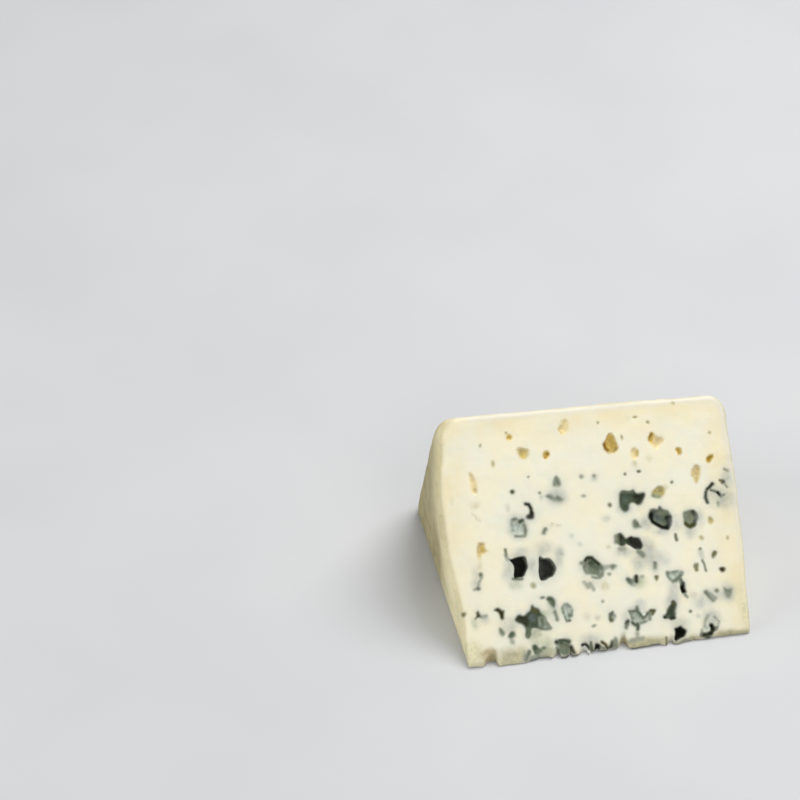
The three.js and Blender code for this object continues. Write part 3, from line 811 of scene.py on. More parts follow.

# Darker and lighter parts of their linings, the darker rims partly painted shade on the walls, and thin
# films of mould: a kind, and the shapes it fills.
FILMS = {
    "bat": [
        ("coal", stroke(2.8, (636, 496.5), (642, 495.7), (638.5, 502))),
        ("pine", oval(626, 498, 3, 5)),
        ("mid", stroke(1, (621.5, 493), (632.3, 491.5))),
    ],
    "round pocket": [
        ("slate", oval(658.5, 517, 3.6, 5)),
        ("sage", oval(663, 512.7, 4, 2.4)),
        ("black", outline((649, 513), (652.5, 511.3), (654.7, 514), (654.7, 519), (653, 522),
            (649.5, 519))),
        ("ink", oval(667.3, 518, 1.9, 2.3)),
        ("black", stroke(1.9, (652.5, 521.5), (657, 524.3), (662, 527), (667.5, 527.7), (669.7, 524),
            (669.3, 517.3))),
        ("mid", oval(664.5, 523.5, 2.2, 1.6)),
    ],
    "shield": [
        ("grey", oval(686.3, 516, 2.2, 3.2)),
        ("dark", stroke(1.3, (695.5, 513.5), (696.3, 517))),
        ("olive_black", stroke(2, (686, 523.7), (690.3, 526.3), (694.5, 524))),
        ("dark", stroke(1.5, (693.5, 512), (696.5, 517), (695.5, 521))),
    ],
    "dumbbell": [
        ("mid", oval(637, 524.7, 1.8, 2.2)),
        ("grey", stroke(1.8, (616, 536.5), (616.7, 542))),
        ("mid", stroke(1.6, (618.3, 536), (619, 542.5))),
        ("haze_grey", stroke(1.7, (620.5, 548.7), (624.5, 549))),
        ("grey", stroke(2.4, (638.5, 551), (643, 555))),
    ],
    "big round pocket": [
        ("grey", stroke(2.4, (586.3, 563), (587, 571))),
        ("mid", oval(595.5, 567.5, 4.4, 4.8)),
        ("dark", stroke(1.2, (585, 560), (587.3, 557.7), (591.3, 557.8), (594.5, 561), (598.5, 564.3))),
        ("ash_dark", stroke(1.3, (601.3, 571), (600.5, 575))),
        ("green", oval(591.5, 562.7, 2.6, 1.8)),
        ("grey", oval(581.5, 562.6, 2.2, 2), stroke(0.9, (592.5, 577), (597, 578.3), (600.5, 577.5),
            (602.3, 574.5))),
    ],
    "small grey ones": [
        ("dark", stroke(1.2, (636.5, 576), (636.9, 581))),
        ("mid", oval(629.3, 580.5, 2.4, 1.8)),
        ("ash_dark", stroke(1, (634, 582), (634, 585))),
    ],
    "twin caves": [
        ("charcoal_light", stroke(2.4, (542, 562), (543, 573))),
    ],
    "ringed ash pockets": [
        ("grey", stroke(1.5, (513.5, 520), (516, 519.2))),
        ("green", stroke(1.7, (520.8, 521.3), (522.8, 520.3))),
        ("grey", stroke(1.3, (524.3, 525), (525.7, 530), (525.6, 534.5)), stroke(1.2, (515.5, 536.2),
            (524.5, 536.2))),
        ("ash_dark", stroke(1.2, (512.7, 522), (512.7, 530))),
        ("grey", stroke(1.1, (562.7, 608), (563.6, 613))),
        ("ash_dark", stroke(1, (564.3, 605.3), (567.5, 604.3), (570.5, 606.5)), stroke(0.8, (572.2, 609.5),
            (572.3, 616))),
        ("mid", oval(570, 615.5, 1.8, 1.5), stroke(1.2, (567, 620.3), (569.7, 620.3))),
        ("grey", stroke(0.9, (564.7, 616), (566, 619))),
        ("mid", stroke(1.1, (612.2, 612.2), (611.2, 615.3)), stroke(1.1, (609.6, 614), (610, 618.5))),
        ("olive_dark", stroke(1.3, (611, 620.3), (611.7, 620))),
        ("ash_mid", oval(614, 616.3, 1.3, 2.3)),
    ],
    "ash and black pair": [
        ("grey", stroke(1.4, (667.3, 573), (668.7, 577), (673.3, 582))),
        ("mid", stroke(1.4, (681, 575), (679.2, 577.5), (675.7, 581))),
        ("ash_dark", oval(681.8, 573, 1.4, 1.4)),
        ("grey", oval(667.6, 573.8, 1.3, 1.7)),
        ("ash_dark", stroke(0.9, (670, 572.7), (677, 571.3))),
        ("mid", stroke(1.4, (680.3, 580), (682, 584))),
        ("grey", stroke(1.2, (684, 594.3), (687, 597))),
    ],
    "flecks on the right": [
        ("olive", oval(696.6, 570, 1.3, 1), oval(715, 553.3, 1.5, 1.8)),
    ],
    "checked pocket": [
        ("grey", stroke(0.9, (629, 611.3), (636.5, 611.3))),
        ("mid", stroke(1.2, (637.2, 607.3), (637.3, 611))),
        ("grey", stroke(0.9, (629.5, 612), (631, 615), (632.3, 618.5)), oval(634, 618, 1.3, 1)),
        ("mid", stroke(1.1, (639, 612.7), (643.7, 618), (648, 612.7))),
        ("olive_dark", stroke(1.3, (650.3, 610.3), (653.8, 610.5), (652, 613.7))),
        ("grey", stroke(1.1, (649.7, 614.5), (649.8, 619)), stroke(1.1, (646, 621), (641, 623.2))),
        ("green", stroke(1.5, (632.7, 622.7), (635.5, 624.7), (637.8, 624.3), (637.4, 628.7))),
        # a painted highlight
        ("white", stroke(1, (642.7, 610.5), (644.5, 614))),
        ("mid", stroke(1.4, (627, 624.7), (626, 628))),
    ],
    "cluster": [
        ("dark", outline((515.5, 619.5), (519, 615.3), (523, 617.3), (526.5, 616), (529, 619), (528, 627),
            (525.5, 626.5), (522, 623.3), (518, 621.3))),
        ("slate", oval(532.5, 618, 3.2, 4)),
        ("green", oval(534.5, 624, 3.2, 3)),
        ("olive_dark", outline((531, 611), (532, 605.5), (535, 608), (539, 609.3), (540.5, 613),
            (535, 612.5))),
        ("ash_dark", outline((539, 616), (544.5, 617), (546, 620.5), (550, 627.5), (545, 629.3),
            (540, 628.3), (538.5, 621))),
        ("mid", stroke(1.5, (542.3, 619), (543.5, 624.3), (541, 628.3))),
        ("sage_dark", stroke(2.3, (528.3, 630), (528.3, 635.5))),
        ("grey", stroke(1, (547, 624.5), (550.3, 628))),
    ],
    "triangle": [
        ("dark", oval(665.3, 617.2, 1.6, 1.2)),
        ("ink", stroke(1.3, (671.7, 618), (674.3, 617.7))),
        ("olive_grey", stroke(1.2, (673, 601.7), (675, 605))),
    ],
    "ring at the right": [
        ("ash", oval(706.5, 628, 2.5, 2.2)),
        ("mist_dark", stroke(1.3, (708.5, 615.3), (705.3, 620.3), (704.3, 626)), stroke(0.9, (715, 617),
            (719.5, 621.5), (718, 626.5), (716.5, 628.3))),
        ("ink", stroke(1.3, (712.3, 630), (710.3, 633))),
        ("green", oval(708.5, 637, 3, 1.3)),
        ("mist_dark", stroke(1.2, (702, 630), (702, 634))),
    ],
    "eyes": [
        ("amber_brown", stroke(2, (604.4, 444), (605.6, 448.3), (608.3, 450.8))),
        ("amber_dark", stroke(1.2, (604, 445), (605.3, 448.6), (607.4, 450.4))),
        ("khaki_deep", stroke(1.4, (609.5, 452), (614, 451.8), (617, 448.5))),
        ("amber_brown", stroke(1.3, (650.8, 433.5), (649.3, 437), (649.2, 440))),
        ("honey", outline((654.3, 436), (656.5, 438.7), (656.5, 444), (654.3, 446), (652.5, 444.7),
            (654, 441))),
        ("amber_olive", oval(522.8, 454.3, 3, 4)),
        ("amber_brown", oval(548.3, 453.5, 1.1, 1.5), oval(546, 457.3, 1.4, 1.3),
            oval(679.6, 453.3, 1.3, 1.5)),
        ("amber_olive", stroke(0.9, (676.5, 449.3), (680.3, 449.3), (681, 452))),
        ("amber_brown", stroke(1.9, (710.7, 456.7), (709, 460.3))),
        ("amber_pale", stroke(0.8, (558.7, 429.7), (561.7, 434))),
        ("amber_olive", stroke(0.9, (637.3, 451), (637.3, 455))),
        ("amber_pale", stroke(1.3, (693.7, 470), (693.6, 475.5)), stroke(1.2, (696.3, 479), (696.7, 482))),
        ("amber", oval(482.5, 549.5, 1.8, 3)),
        ("amber_pale", stroke(1.1, (478.6, 544), (478.2, 552)), stroke(1, (475, 489.5), (475.6, 492))),
        ("khaki_deep", oval(661, 492, 2.6, 3.3)),
        ("sage", stroke(1.6, (653.5, 495.6), (658.5, 496.6))),
    ],
    "veins and haze": [
        ("mist_dark", stroke(1.6, (584, 583), (588, 587.5)), stroke(1.7, (590, 584.5), (593, 589.3))),
        ("mist_thin", oval(676, 523, 5, 8), oval(700, 517, 4, 8)),
        ("mist_dark", stroke(1, (482, 578), (479.3, 584), (478.6, 588)), oval(474.6, 590, 1.3, 1.2),
            stroke(1.3, (482.3, 617), (486, 616))),
        ("haze_grey", oval(512.5, 642, 2.4, 2.4)),
        ("mist_dark", stroke(1.6, (505.7, 555), (508, 559))),
        ("haze_olive", outline((531, 628), (541.5, 630), (542, 637.5), (532, 637.5))),
        ("mist_dark", oval(637.3, 634, 2.2, 3.5)),
        ("mist_thin", oval(640, 603, 5, 4)),
        ("mist_dark", oval(606.5, 567, 2.8, 2.4), oval(642, 576.7, 2, 1.5)),
    ],
    "tip": [
        ("mist_dark", oval(524.5, 656, 2.4, 4.5), stroke(1.8, (631, 640.8), (636, 639.5), (643, 638.8))),
        ("haze_olive", outline((541, 652), (545, 645.5), (552, 646), (555, 650), (554, 657), (541, 658),
            (538, 655))),
        ("ash_dark", outline((529, 655), (537, 653.3), (541, 655), (538, 659), (530, 662))),
        ("mid", outline((555, 646.3), (559.5, 647), (561, 656), (557.5, 653))),
        ("olive_grey", stroke(1, (666.5, 638), (667.3, 645))),
        ("haze_grey", stroke(1.3, (674, 643.5), (678, 643.3), (683, 641), (689.5, 640))),
        ("putty", stroke(0.8, (561, 657.5), (565, 657.8), (568.7, 656.3)), stroke(0.8, (572.5, 656),
            (575, 656.5), (579.3, 654.8)), stroke(0.7, (541, 658), (549, 657.7), (552.5, 658.7)),
            stroke(0.8, (598, 651), (607.5, 650.6)), stroke(0.7, (629.5, 647.8), (637, 648.3), (645, 646.7),
            (660, 644.7)), stroke(0.8, (531, 661), (540, 657.8))),
        ("mid", stroke(1.2, (513.5, 579), (522.5, 578.7))),
        ("dark", stroke(1, (556, 641.7), (557.5, 642))),
        ("green", stroke(1, (559.5, 640), (565, 639.9), (569.5, 641.5)), oval(561.7, 642.5, 1.5, 1.5)),
        ("white", stroke(0.9, (581.5, 648.3), (584.7, 646.7), (587.3, 649.3), (588.8, 653))),
        ("grey", stroke(0.7, (592.7, 645), (592.8, 649.5), (594, 652.3))),
        ("sage_dark", oval(544, 648.7, 2.4, 1.8)),
        ("green", stroke(1.5, (535.5, 647.3), (536.3, 652))),
        ("mid", stroke(1.4, (537, 652), (541, 651))),
        ("grey", oval(615.7, 646, 1.6, 1.8), stroke(1.2, (601.5, 647), (604.5, 648))),
    ],
}

# The tip, broken and ragged, where it meets the floor, in pixels from left to right.
TIP_LINE = [
    (471, 668.4), (484.5, 667.3), (487, 664), (490.5, 662), (495.3, 662), (497.3, 664.3), (499.5, 667),
    (512, 665.1), (526, 663.6), (531, 661.3), (536.5, 659.8), (540, 658.4), (550, 658.2), (552.5, 659.3),
    (555.5, 656.6), (558.8, 654.3), (560.3, 657), (562, 658.8), (567, 658.6), (569.3, 656.7),
    (570.5, 653.5), (572, 656.4), (574.5, 657.3), (578, 656.2), (580.7, 653.6), (583, 651.7),
    (585.5, 651.3), (587.6, 653), (589, 655.3), (590, 654.4), (590.8, 650.5), (592, 651), (593.7, 653),
    (595, 650.8), (597.3, 650), (600, 651.6), (607, 651.2), (609.3, 649.7), (616.5, 649.2), (618.7, 647),
    (621, 644.2), (623.3, 643.1), (626, 645), (629.3, 648.4), (632, 649.3), (637, 649.1), (643, 647.7),
    (653, 646.2), (661, 645.3), (667.3, 646.2), (668.7, 642.6), (672, 641.8), (673.3, 644.3),
    (677, 645.2), (683, 643.4), (690, 641.2), (694, 639.8), (700, 640.3), (707, 639.6), (711, 638.4),
    (720, 637), (730, 635.8), (740, 634.6), (748.5, 633.6),
]
TIP_DEEP = 9.0  # further back than any break


class Spot:
    """A shape on a face, in which there is a hollow that narrows to its floor, or only a stain."""

    BLOOM_REACH = 5.0
    WARP = 0.2  # how far its outline wanders
    THROUGH = 8.5  # how far down a film still shows on the linings under it
    STEEPNESS = 1.2  # of a shallow hollow's sides
    STEEPER = 0.3  # for each millimetre of its depth
    BELOW_FLOOR = 0.6  # a hollow's lining goes on to this far under its floor
    FADE = 1.0  # and then fades out over this
    LEAST_SOFT = 0.3  # millimetres
    MOST_SOFT = 0.9  # of the inradius

    def __init__(self, face, kind, shape, depth=0.0, warp=WARP, cloudy=False):
        self.face, self.kind, self.shape = face, KINDS[kind], shape
        self.depth, self.warp, self.cloudy = depth, warp, cloudy

    def outline_distance(self, points, warps):
        across, up, depth = self.face.local(*points)
        wander = [self.warp * warp for warp in warps]
        return self.shape.distance(across + wander[0], up + wander[1]), depth

    def hollow(self, points, warps):
        """Distance to the hollow, less than 0 in it."""
        edge, depth = self.outline_distance(points, warps)
        share = np.clip(depth / self.depth, 0, 2)
        steepness = self.STEEPNESS + self.STEEPER * self.depth
        return np.maximum(edge + self.shape.inradius * share**steepness, depth - self.depth)

    def stain(self, points, warps):
        """How far it covers each point, and the distance to its outline."""
        edge, depth = self.outline_distance(points, warps)
        reach = self.depth + self.BELOW_FLOOR if self.depth else self.THROUGH
        soft = min(self.kind.soft, max(self.LEAST_SOFT, self.MOST_SOFT * self.shape.inradius))
        there = smooth_step(soft, -soft, edge) * smooth_step(reach + self.FADE, reach, depth)
        return self.kind.cover * there, edge

    def box(self, margin):
        """The lowest and highest corners of the space that it takes, with a margin."""
        deep = self.depth or self.THROUGH
        corners = [
            self.face.world(across, up, depth)
            for across in (self.shape.low[0] - margin, self.shape.high[0] + margin)
            for up in (self.shape.low[1] - margin, self.shape.high[1] + margin)
            for depth in (-margin, deep + margin)
        ]
        return np.min(corners, axis=0), np.max(corners, axis=0)


def random_oval(acrosses, ups, halves, squash):
    half = RANDOM.uniform(*halves)
    place = RANDOM.uniform(*acrosses), RANDOM.uniform(*ups)
    return Oval(*place, half, half * RANDOM.uniform(*squash), RANDOM.uniform(-90, 90))


# Hollows at random: how many, the kinds of lining, the ranges of their places, half widths and squash,
# and their depth and how much their outlines wander, both for each millimetre of their inradius.
Scatter = namedtuple("Scatter", "count kinds acrosses ups halves squash depth warp")
MOULDS = ["black", "green", "mid", "sage", "grey", "ash", "olive"]
EYES = ["amber", "honey"]
BASE_SCATTERS = [
    Scatter(46, MOULDS, (-41, 41), (8, 60), (0.6, 3.4), (0.6, 1.0), 1.2, 0.3),
    Scatter(16, EYES, (-44, 44), (60, 80), (0.6, 2.0), (0.7, 0.9), 1.0, 0.2),
]


def scattered_hole(face, scatter):
    kind = RANDOM.choice(scatter.kinds)
    shape = random_oval(scatter.acrosses, scatter.ups, scatter.halves, scatter.squash)
    return Spot(face, kind, shape, scatter.depth * shape.inradius, scatter.warp * shape.inradius)


def filled(groups):
    """The kind and shape of every spot in groups that give a kind and what it fills."""
    entries = [entry for group in groups.values() for entry in group]
    return [(kind, shape) for kind, *shapes in entries for shape in shapes]


CLOUD_SPOTS = [Spot(Slope, kind, shape, cloudy=True) for kind, shape in filled(CLOUDS)]
HOLE_SPOTS = [
    Spot(Slope, kind, shape, depth)
    for group in HOLES.values() for kind, depth, *shapes in group for shape in shapes
] + [
    scattered_hole(Base, scatter) for scatter in BASE_SCATTERS for _ in range(scatter.count)
]
FILM_SPOTS = [Spot(Slope, kind, shape) for kind, shape in filled(FILMS)]


# ---------------------------------------------------------------- from distances to a mesh

def grid_axes():
    low, high = np.array(CAD_LOW) / MM - MARGIN, np.array(CAD_HIGH) / MM + MARGIN
    return [np.arange(a, b, STEP) for a, b in zip(low, high)]


def open_axes(axes):
    """The three lists of coordinates, shaped so that they spread over the grid."""
    xs, ys, zs = (a.astype(np.float32) for a in axes)
    return xs[:, None, None], ys[None, :, None], zs[None, None, :]


def spot_warps(part_of):
    """The two noises that make outlines wander."""
    return part_of(WARP_ACROSS), part_of(WARP_UP)


NO_HOLLOW = 10.0  # the distance where no hollow is near
HOLLOW_MARGIN = 1.2


def carve_holes(field, axes):
    """Takes every hollow out of the body."""
    hollow = np.full(field.shape, NO_HOLLOW, np.float32)
    for spot in HOLE_SPOTS:
        low, high = spot.box(HOLLOW_MARGIN)
        part = [slice(*np.searchsorted(a, (lo, hi))) for a, lo, hi in zip(axes, low, high)]
        local = [a[s] for a, s in zip(axes, part)]
        if min(len(a) for a in local) == 0:
            continue
        distance = spot.hollow(open_axes(local), spot_warps(lambda noise: noise.on_grid(*local)))
        distance = distance + POCKET_RELIEF * FINE.on_grid(*local)
        there = tuple(part)
        hollow[there] = np.minimum(hollow[there], distance)
    return smooth_cut(field, hollow, LIP)


def tip_distance(across, along):
    """Distance to the open air in front of the ragged tip, less than 0 in it."""
    line = [on_floor(*pixel) for pixel in TIP_LINE]
    far = line[-1][0] + TIP_DEEP
    line = [(-far, line[0][1])] + line + [(far, line[-1][1])]
    front = [(far, -TIP_DEEP), (-far, -TIP_DEEP)]
    air = Outline(*line, *front)
    air.corners = line + front
    return air.distance(across, along)


def break_tip(field, axes):
    """Cuts the blunt, ragged tip, which wanders a little from the floor upwards."""
    near = [axes[0], axes[1][axes[1] < AXIS_Y + TIP_DEEP], axes[2][axes[2] < TIP_DEEP]]
    x, y, z = open_axes(near)
    sideways, inwards = (TIP_WANDER * warp for warp in spot_warps(lambda noise: noise.on_grid(*near)))
    air = tip_distance(x - MIDDLE_X + sideways, y - AXIS_Y + inwards)
    here = (slice(None), slice(len(near[1])), slice(len(near[2])))
    field[here] = rounded_max(field[here], -air, TIP_EDGE)
    return field


def cheese_field(axes):
    x, y, z = open_axes(axes)
    noises = [noise.on_grid(*axes) for noise in (WIDE, RIND_LUMPS, MIDDLE, FINE)]
    field = body_distance(x, y, z, noises)
    field = carve_holes(field, axes)
    return break_tip(field, axes)


CORNERS = np.array([(i, j, k) for i in (0, 1) for j in (0, 1) for k in (0, 1)])
EDGES = [
    (a, b) for a in range(8) for b in range(a + 1, 8)
    if np.abs(CORNERS[a] - CORNERS[b]).sum() == 1
]


def surface_net(field, axes):
    """Vertices and quads of the surface where the field is 0, one vertex to a cell."""
    inside = field < 0
    corner_views = [
        tuple(slice(c, c - 1 or None) for c in corner) for corner in CORNERS
    ]
    count = sum(inside[view].astype(np.int8) for view in corner_views)
    cells = np.argwhere((count > 0) & (count < 8))
    number = np.full(count.shape, -1, np.int32)
    number[tuple(cells.T)] = np.arange(len(cells))

    values = np.stack([field[tuple((cells + corner).T)] for corner in CORNERS], 1)
    total = np.zeros((len(cells), 3), np.float32)
    crossings = np.zeros(len(cells), np.float32)
    for a, b in EDGES:
        va, vb = values[:, a], values[:, b]
        crossed = (va < 0) != (vb < 0)
        t = np.where(crossed, va / np.where(crossed, va - vb, 1), 0)[:, None]
        point = CORNERS[a] * (1 - t) + CORNERS[b] * t
        total += np.where(crossed[:, None], point, 0)
        crossings += crossed
    places = cells + total / crossings[:, None]
    vertices = np.stack([a[0] + STEP * places[:, i] for i, a in enumerate(axes)], 1)

    quads = []
    for axis in range(3):
        u, v = (axis + 1) % 3, (axis + 2) % 3
        first = [slice(1, -1)] * 3
        second = [slice(1, -1)] * 3
        first[axis], second[axis] = slice(0, -1), slice(1, None)
        here, there = inside[tuple(first)], inside[tuple(second)]
        for leaving in (True, False):
            starts = np.argwhere((here != there) & (here == leaving))
            starts[:, u] += 1
            starts[:, v] += 1
            ring = []
            for du, dv in ((-1, -1), (0, -1), (0, 0), (-1, 0)):
                cell = starts.copy()
                cell[:, u] += du
                cell[:, v] += dv
                ring.append(number[tuple(cell.T)])
            quad = np.stack(ring, 1)
            quads.append(quad if leaving else quad[:, ::-1])
    return vertices, np.concatenate(quads)


def largest_piece(vertices, quads):
    """Drops the loose specks and sealed bubbles."""
    label = np.arange(len(vertices))
    while True:
        lowest = label[quads].min(1)
        new = label.copy()
        for corner in range(4):
            np.minimum.at(new, quads[:, corner], lowest)
        new = new[new]
        if np.array_equal(new, label):
            break
        label = new
    main = np.bincount(label).argmax()
    kept = label == main
    renumber = np.cumsum(kept) - 1
    return vertices[kept], renumber[quads[kept[quads[:, 0]]]]


def make_mesh(name, vertices, quads):
    mesh = bpy.data.meshes.new(name)
    mesh.vertices.add(len(vertices))
    mesh.vertices.foreach_set("co", (vertices * MM).astype(np.float32).ravel())
    mesh.loops.add(quads.size)
    mesh.loops.foreach_set("vertex_index", quads.astype(np.int32).ravel())
    mesh.polygons.add(len(quads))
    mesh.polygons.foreach_set("loop_start", np.arange(0, quads.size, 4, dtype=np.int32))
    mesh.update(calc_edges=True)
    mesh.validate()
    return mesh


def mesh_points(mesh):
    flat = np.empty(len(mesh.vertices) * 3, np.float32)
    mesh.vertices.foreach_get("co", flat)
    return flat.reshape(-1, 3) / MM


def near_points(points, spot, margin):
    low, high = spot.box(margin)
    return np.nonzero(((points > low) & (points < high)).all(1))[0]


CLOUD_COVER = 0.85
WISPS = 0.3  # how uneven the clouding is
BLOOM_FADE = 1.1  # millimetres
BLOOM_LEAST = 0.3  # round the smallest spots
BLOOM_GROWTH = 0.5  # for each millimetre of a spot's inradius
SEEN = 0.002  # the least cover that counts


def stains(points):
    """For each vertex: the colour of its stain, how far that covers it, the bloom, and how far the
    nearest hollow or film is."""
    colour = np.zeros((len(points), 3), np.float32)
    cover, bloom = np.zeros((2, len(points)), np.float32)
    nearest = np.full(len(points), Spot.BLOOM_REACH, np.float32)
    for spot in CLOUD_SPOTS + HOLE_SPOTS + FILM_SPOTS:
        near = near_points(points, spot, Spot.BLOOM_REACH if spot.depth else 2 * spot.kind.soft)
        if len(near) == 0:
            continue
        part = points[near]
        warps = spot_warps(lambda noise: noise.at(part))
        share, edge = spot.stain(part.T, warps)
        if spot.cloudy:
            share = share * np.clip(CLOUD_COVER + WISPS * (warps[0] + warps[1]), 0, 1)
        else:
            nearest[near] = np.minimum(nearest[near], edge)
        colour[near] += (np.array(spot.kind.colour[:3]) - colour[near]) * share[:, None]
        cover[near] += (1 - cover[near]) * share
        halo = spot.kind.bloom * min(1.0, BLOOM_LEAST + BLOOM_GROWTH * spot.shape.inradius)
        halo = halo * np.exp(-np.maximum(edge, 0) / BLOOM_FADE)
        bloom[near] = np.maximum(bloom[near], halo)
    seen = cover > SEEN
    colour[seen] /= cover[seen, None]
    colour[~seen] = BLOOM[:3]
    return colour, cover, bloom, nearest


def thin_out(obj, weights):
    """Fewer triangles, the more so the higher the weight."""
    group = obj.vertex_groups.new(name="smooth")
    for level in np.unique(weights):
        members = np.nonzero(weights == level)[0]
        group.add(members.tolist(), float(level), "REPLACE")
    faces = sum(len(p.vertices) - 2 for p in obj.data.polygons)
    if faces > TRIANGLES:
        decimate = obj.modifiers.new("thin_out", "DECIMATE")
        decimate.ratio = TRIANGLES / faces
        decimate.vertex_group = group.name
        decimate.vertex_group_factor = 1.0
        depsgraph = bpy.context.evaluated_depsgraph_get()
        thin = bpy.data.meshes.new_from_object(obj.evaluated_get(depsgraph))
        obj.modifiers.clear()
        obj.data = thin
    obj.vertex_groups.clear()


FINE_NEAR = 0.7  # the mesh stays finer this near to a hollow or film
FINE_UNDER = 8  # down to this far under the slope
FINE_WEIGHT = 0.15  # and this is its weight there, where it is 1 elsewhere


def build_cheese():
    axes = grid_axes()
    vertices, quads = largest_piece(*surface_net(cheese_field(axes), axes))
    mesh = make_mesh("cheese_wedge", vertices, quads)
    obj = bpy.data.objects.new("cheese_wedge", mesh)
    bpy.context.scene.collection.objects.link(obj)
    *_, nearest = stains(mesh_points(mesh))
    under = Slope.local(*mesh_points(mesh).T)[2]
    stays_fine = (under < FINE_UNDER) & (nearest < FINE_NEAR)
    thin_out(obj, np.where(stays_fine, FINE_WEIGHT, 1.0).round(2))
    attributes = obj.data.attributes
    if "sharp_face" in attributes:
        attributes.remove(attributes["sharp_face"])
    obj.data.shade_smooth()
    return obj


# ---------------------------------------------------------------- what the material reads

def add_attribute(mesh, name, values):
    attribute = mesh.attributes.new(name, "FLOAT", "POINT")
    attribute.data.foreach_set("value", np.asarray(values, np.float32))


def add_colour(mesh, name, values):
    attribute = mesh.attributes.new(name, "FLOAT_COLOR", "POINT")
    opaque = np.concatenate([values, np.ones((len(values), 1))], 1)
    attribute.data.foreach_set("color", opaque.astype(np.float32).ravel())


# Where the tints of the clean cheese lie, with its painted shade and highlight. A pair is the range,
# in millimetres, over which one comes in.
WARM_WITHIN = (-14, 0)  # the paste is warmer towards the rind
WARM_RIGHT = 0.9
WARM_LEFT = 0.3
WARM_LEFT_MORE = 0.7
WARM_LEFT_UP = (20, 62)
HIGHLIGHT_REACH = (3.6, 0.6)  # from the rim, along which a painted highlight runs, a cream line
HIGHLIGHT_ACROSS = (-44, -36)
HIGHLIGHT_LOW = 0.2
HIGHLIGHT_HIGHER = 0.8
HIGHLIGHT_UP = (25, 45)
ENDS_FROM = (44, 48)
SHADE_DEPTH = 30.0  # the ends get more and more painted shade, down to this far below the slope
SHADE_RISE = 0.4
SHADE_MOST = 0.76
SHADE_RADIUS = (28, 52)
RIGHT_SHADE = 0.35  # how much painted shade the right end gets, beside the left one
TIP_REACH = (8.0, 2.0)  # how far from the wheel's axis the tip gets its painted shade, a tan
WALL_UNDER = (0.2, 1.6)  # how far under the slope the broken wall begins
WALL_BEFORE = (9, 7)  # how far back it ends
WALL_ABOVE = 0.02  # it is clear of the floor
LIP_BELOW = (0.9, 0.4)  # and its foot is paler


def paste_tints(across, up, wheel, under):
    """How warm the paste is, and how strong the painted highlight is round the top."""
    left = WARM_LEFT + WARM_LEFT_MORE * smooth_step(*WARM_LEFT_UP, up)
    warm = np.where(across > 0, WARM_RIGHT, left) * smooth_step(*WARM_WITHIN, wheel)
    rim = smooth_step(*HIGHLIGHT_REACH, np.abs(wheel + under)) * smooth_step(*HIGHLIGHT_ACROSS, across)
    return warm, rim * (HIGHLIGHT_LOW + HIGHLIGHT_HIGHER * smooth_step(*HIGHLIGHT_UP, up))


def end_tints(across, radius, under):
    """Where the wheel's flat sides are, and the painted shade on them, darker low down and far back."""
    ends = smooth_step(*ENDS_FROM, np.abs(across))
    shade_on_ends = SHADE_MOST * np.clip(under / SHADE_DEPTH, 0, 1) ** SHADE_RISE * smooth_step(*SHADE_RADIUS, radius)
    return ends, shade_on_ends * ends * np.where(across > 0, RIGHT_SHADE, 1.0)


def tip_tints(along, z, under):
    """The painted shade of the tip and of its broken wall, and the foot of that wall."""
    wall = smooth_step(*WALL_UNDER, under) * smooth_step(*WALL_BEFORE, along) * (z > WALL_ABOVE)
    return smooth_step(*TIP_REACH, along + z), wall, wall * smooth_step(*LIP_BELOW, z)


def paint(obj):
    points = mesh_points(obj.data)
    x, y, z = points.T
    across, along, up = x - MIDDLE_X, y - AXIS_Y, Slope.local(x, y, z)[1]
    wheel, under = wheel_distance(x, y, z), -slope_distance(y, z)
    colour, cover, bloom, _ = stains(points)
    # the rind's share, which also lays painted shade on the slope along the left edge
    rind = rind_share_and_edge_shade(x, y, z)
    # the cream line round the top and right edges is a painted highlight
    warm, edge_highlight = paste_tints(across, up, wheel, under)
    # the ends' darkening, low down and far back, is painted shade
    ends, shade_on_ends = end_tints(across, np.hypot(along, z), under)
    # the tan of the tip and of its broken wall is painted shade
    tip, wall, lip = tip_tints(along, z, under)
    add_colour(obj.data, "stain", colour)
    for name, values in {
        "cover": cover, "bloom": bloom, "rind": rind, "near_rind": warm * (1 - rind), "edge": edge_highlight,
        "under": under, "ends": ends, "end_shade": shade_on_ends, "tip": tip, "wall": wall, "lip": lip,
    }.items():
        add_attribute(obj.data, name, values)


# ---------------------------------------------------------------- the map that colours are baked on

BAKE_MAP = "OFBake"
# Where each side lies on the unit square: its lower corner, how much of the square a millimetre
# takes, and whether it is turned there. The slope gets the most.
Chart = namedtuple("Chart", "corner scale turned")
CHARTS = [
    Chart((0.010, 0.420), 0.0063, False),  # slope
    Chart((0.682, 0.420), 0.0045, True),  # rind
    Chart((0.010, 0.010), 0.0043, False),  # floor
    Chart((0.470, 0.010), 0.0042, True),  # left end
    Chart((0.735, 0.010), 0.0042, True),  # right end
]
NEAR_CHART = 4.0  # a face this far under a side counts as one that is turned a right angle from it


def chart_coordinates(across, along, z):
    """For each side, two coordinates in millimetres, from about 0."""
    from_left = across - across.min()
    wall = WHEEL_RADIUS * np.arctan2(z, along)
    upwards = Slope.local(across + MIDDLE_X, along + AXIS_Y, z)[1]
    flat = [(from_left, upwards), (from_left, wall), (from_left, along), (along, z), (along, z)]
    return np.array([(first - first.min(), second - second.min()) for first, second in flat])


def chart_scores(across, along, z, normals):
    """How well each side suits each face, by the way that it faces and how far from the side it is."""
    radius = np.maximum(np.hypot(along, z), 1.0)
    nx, ny, nz = normals
    facing = [(nz - ny) * ROOT_HALF, (ny * along + nz * z) / radius, -nz, -nx, nx]
    deep = [(along - z) * ROOT_HALF, WHEEL_RADIUS - radius, z, across - across.min(), across.max() - across]
    return np.array(facing) - np.array(deep) / NEAR_CHART


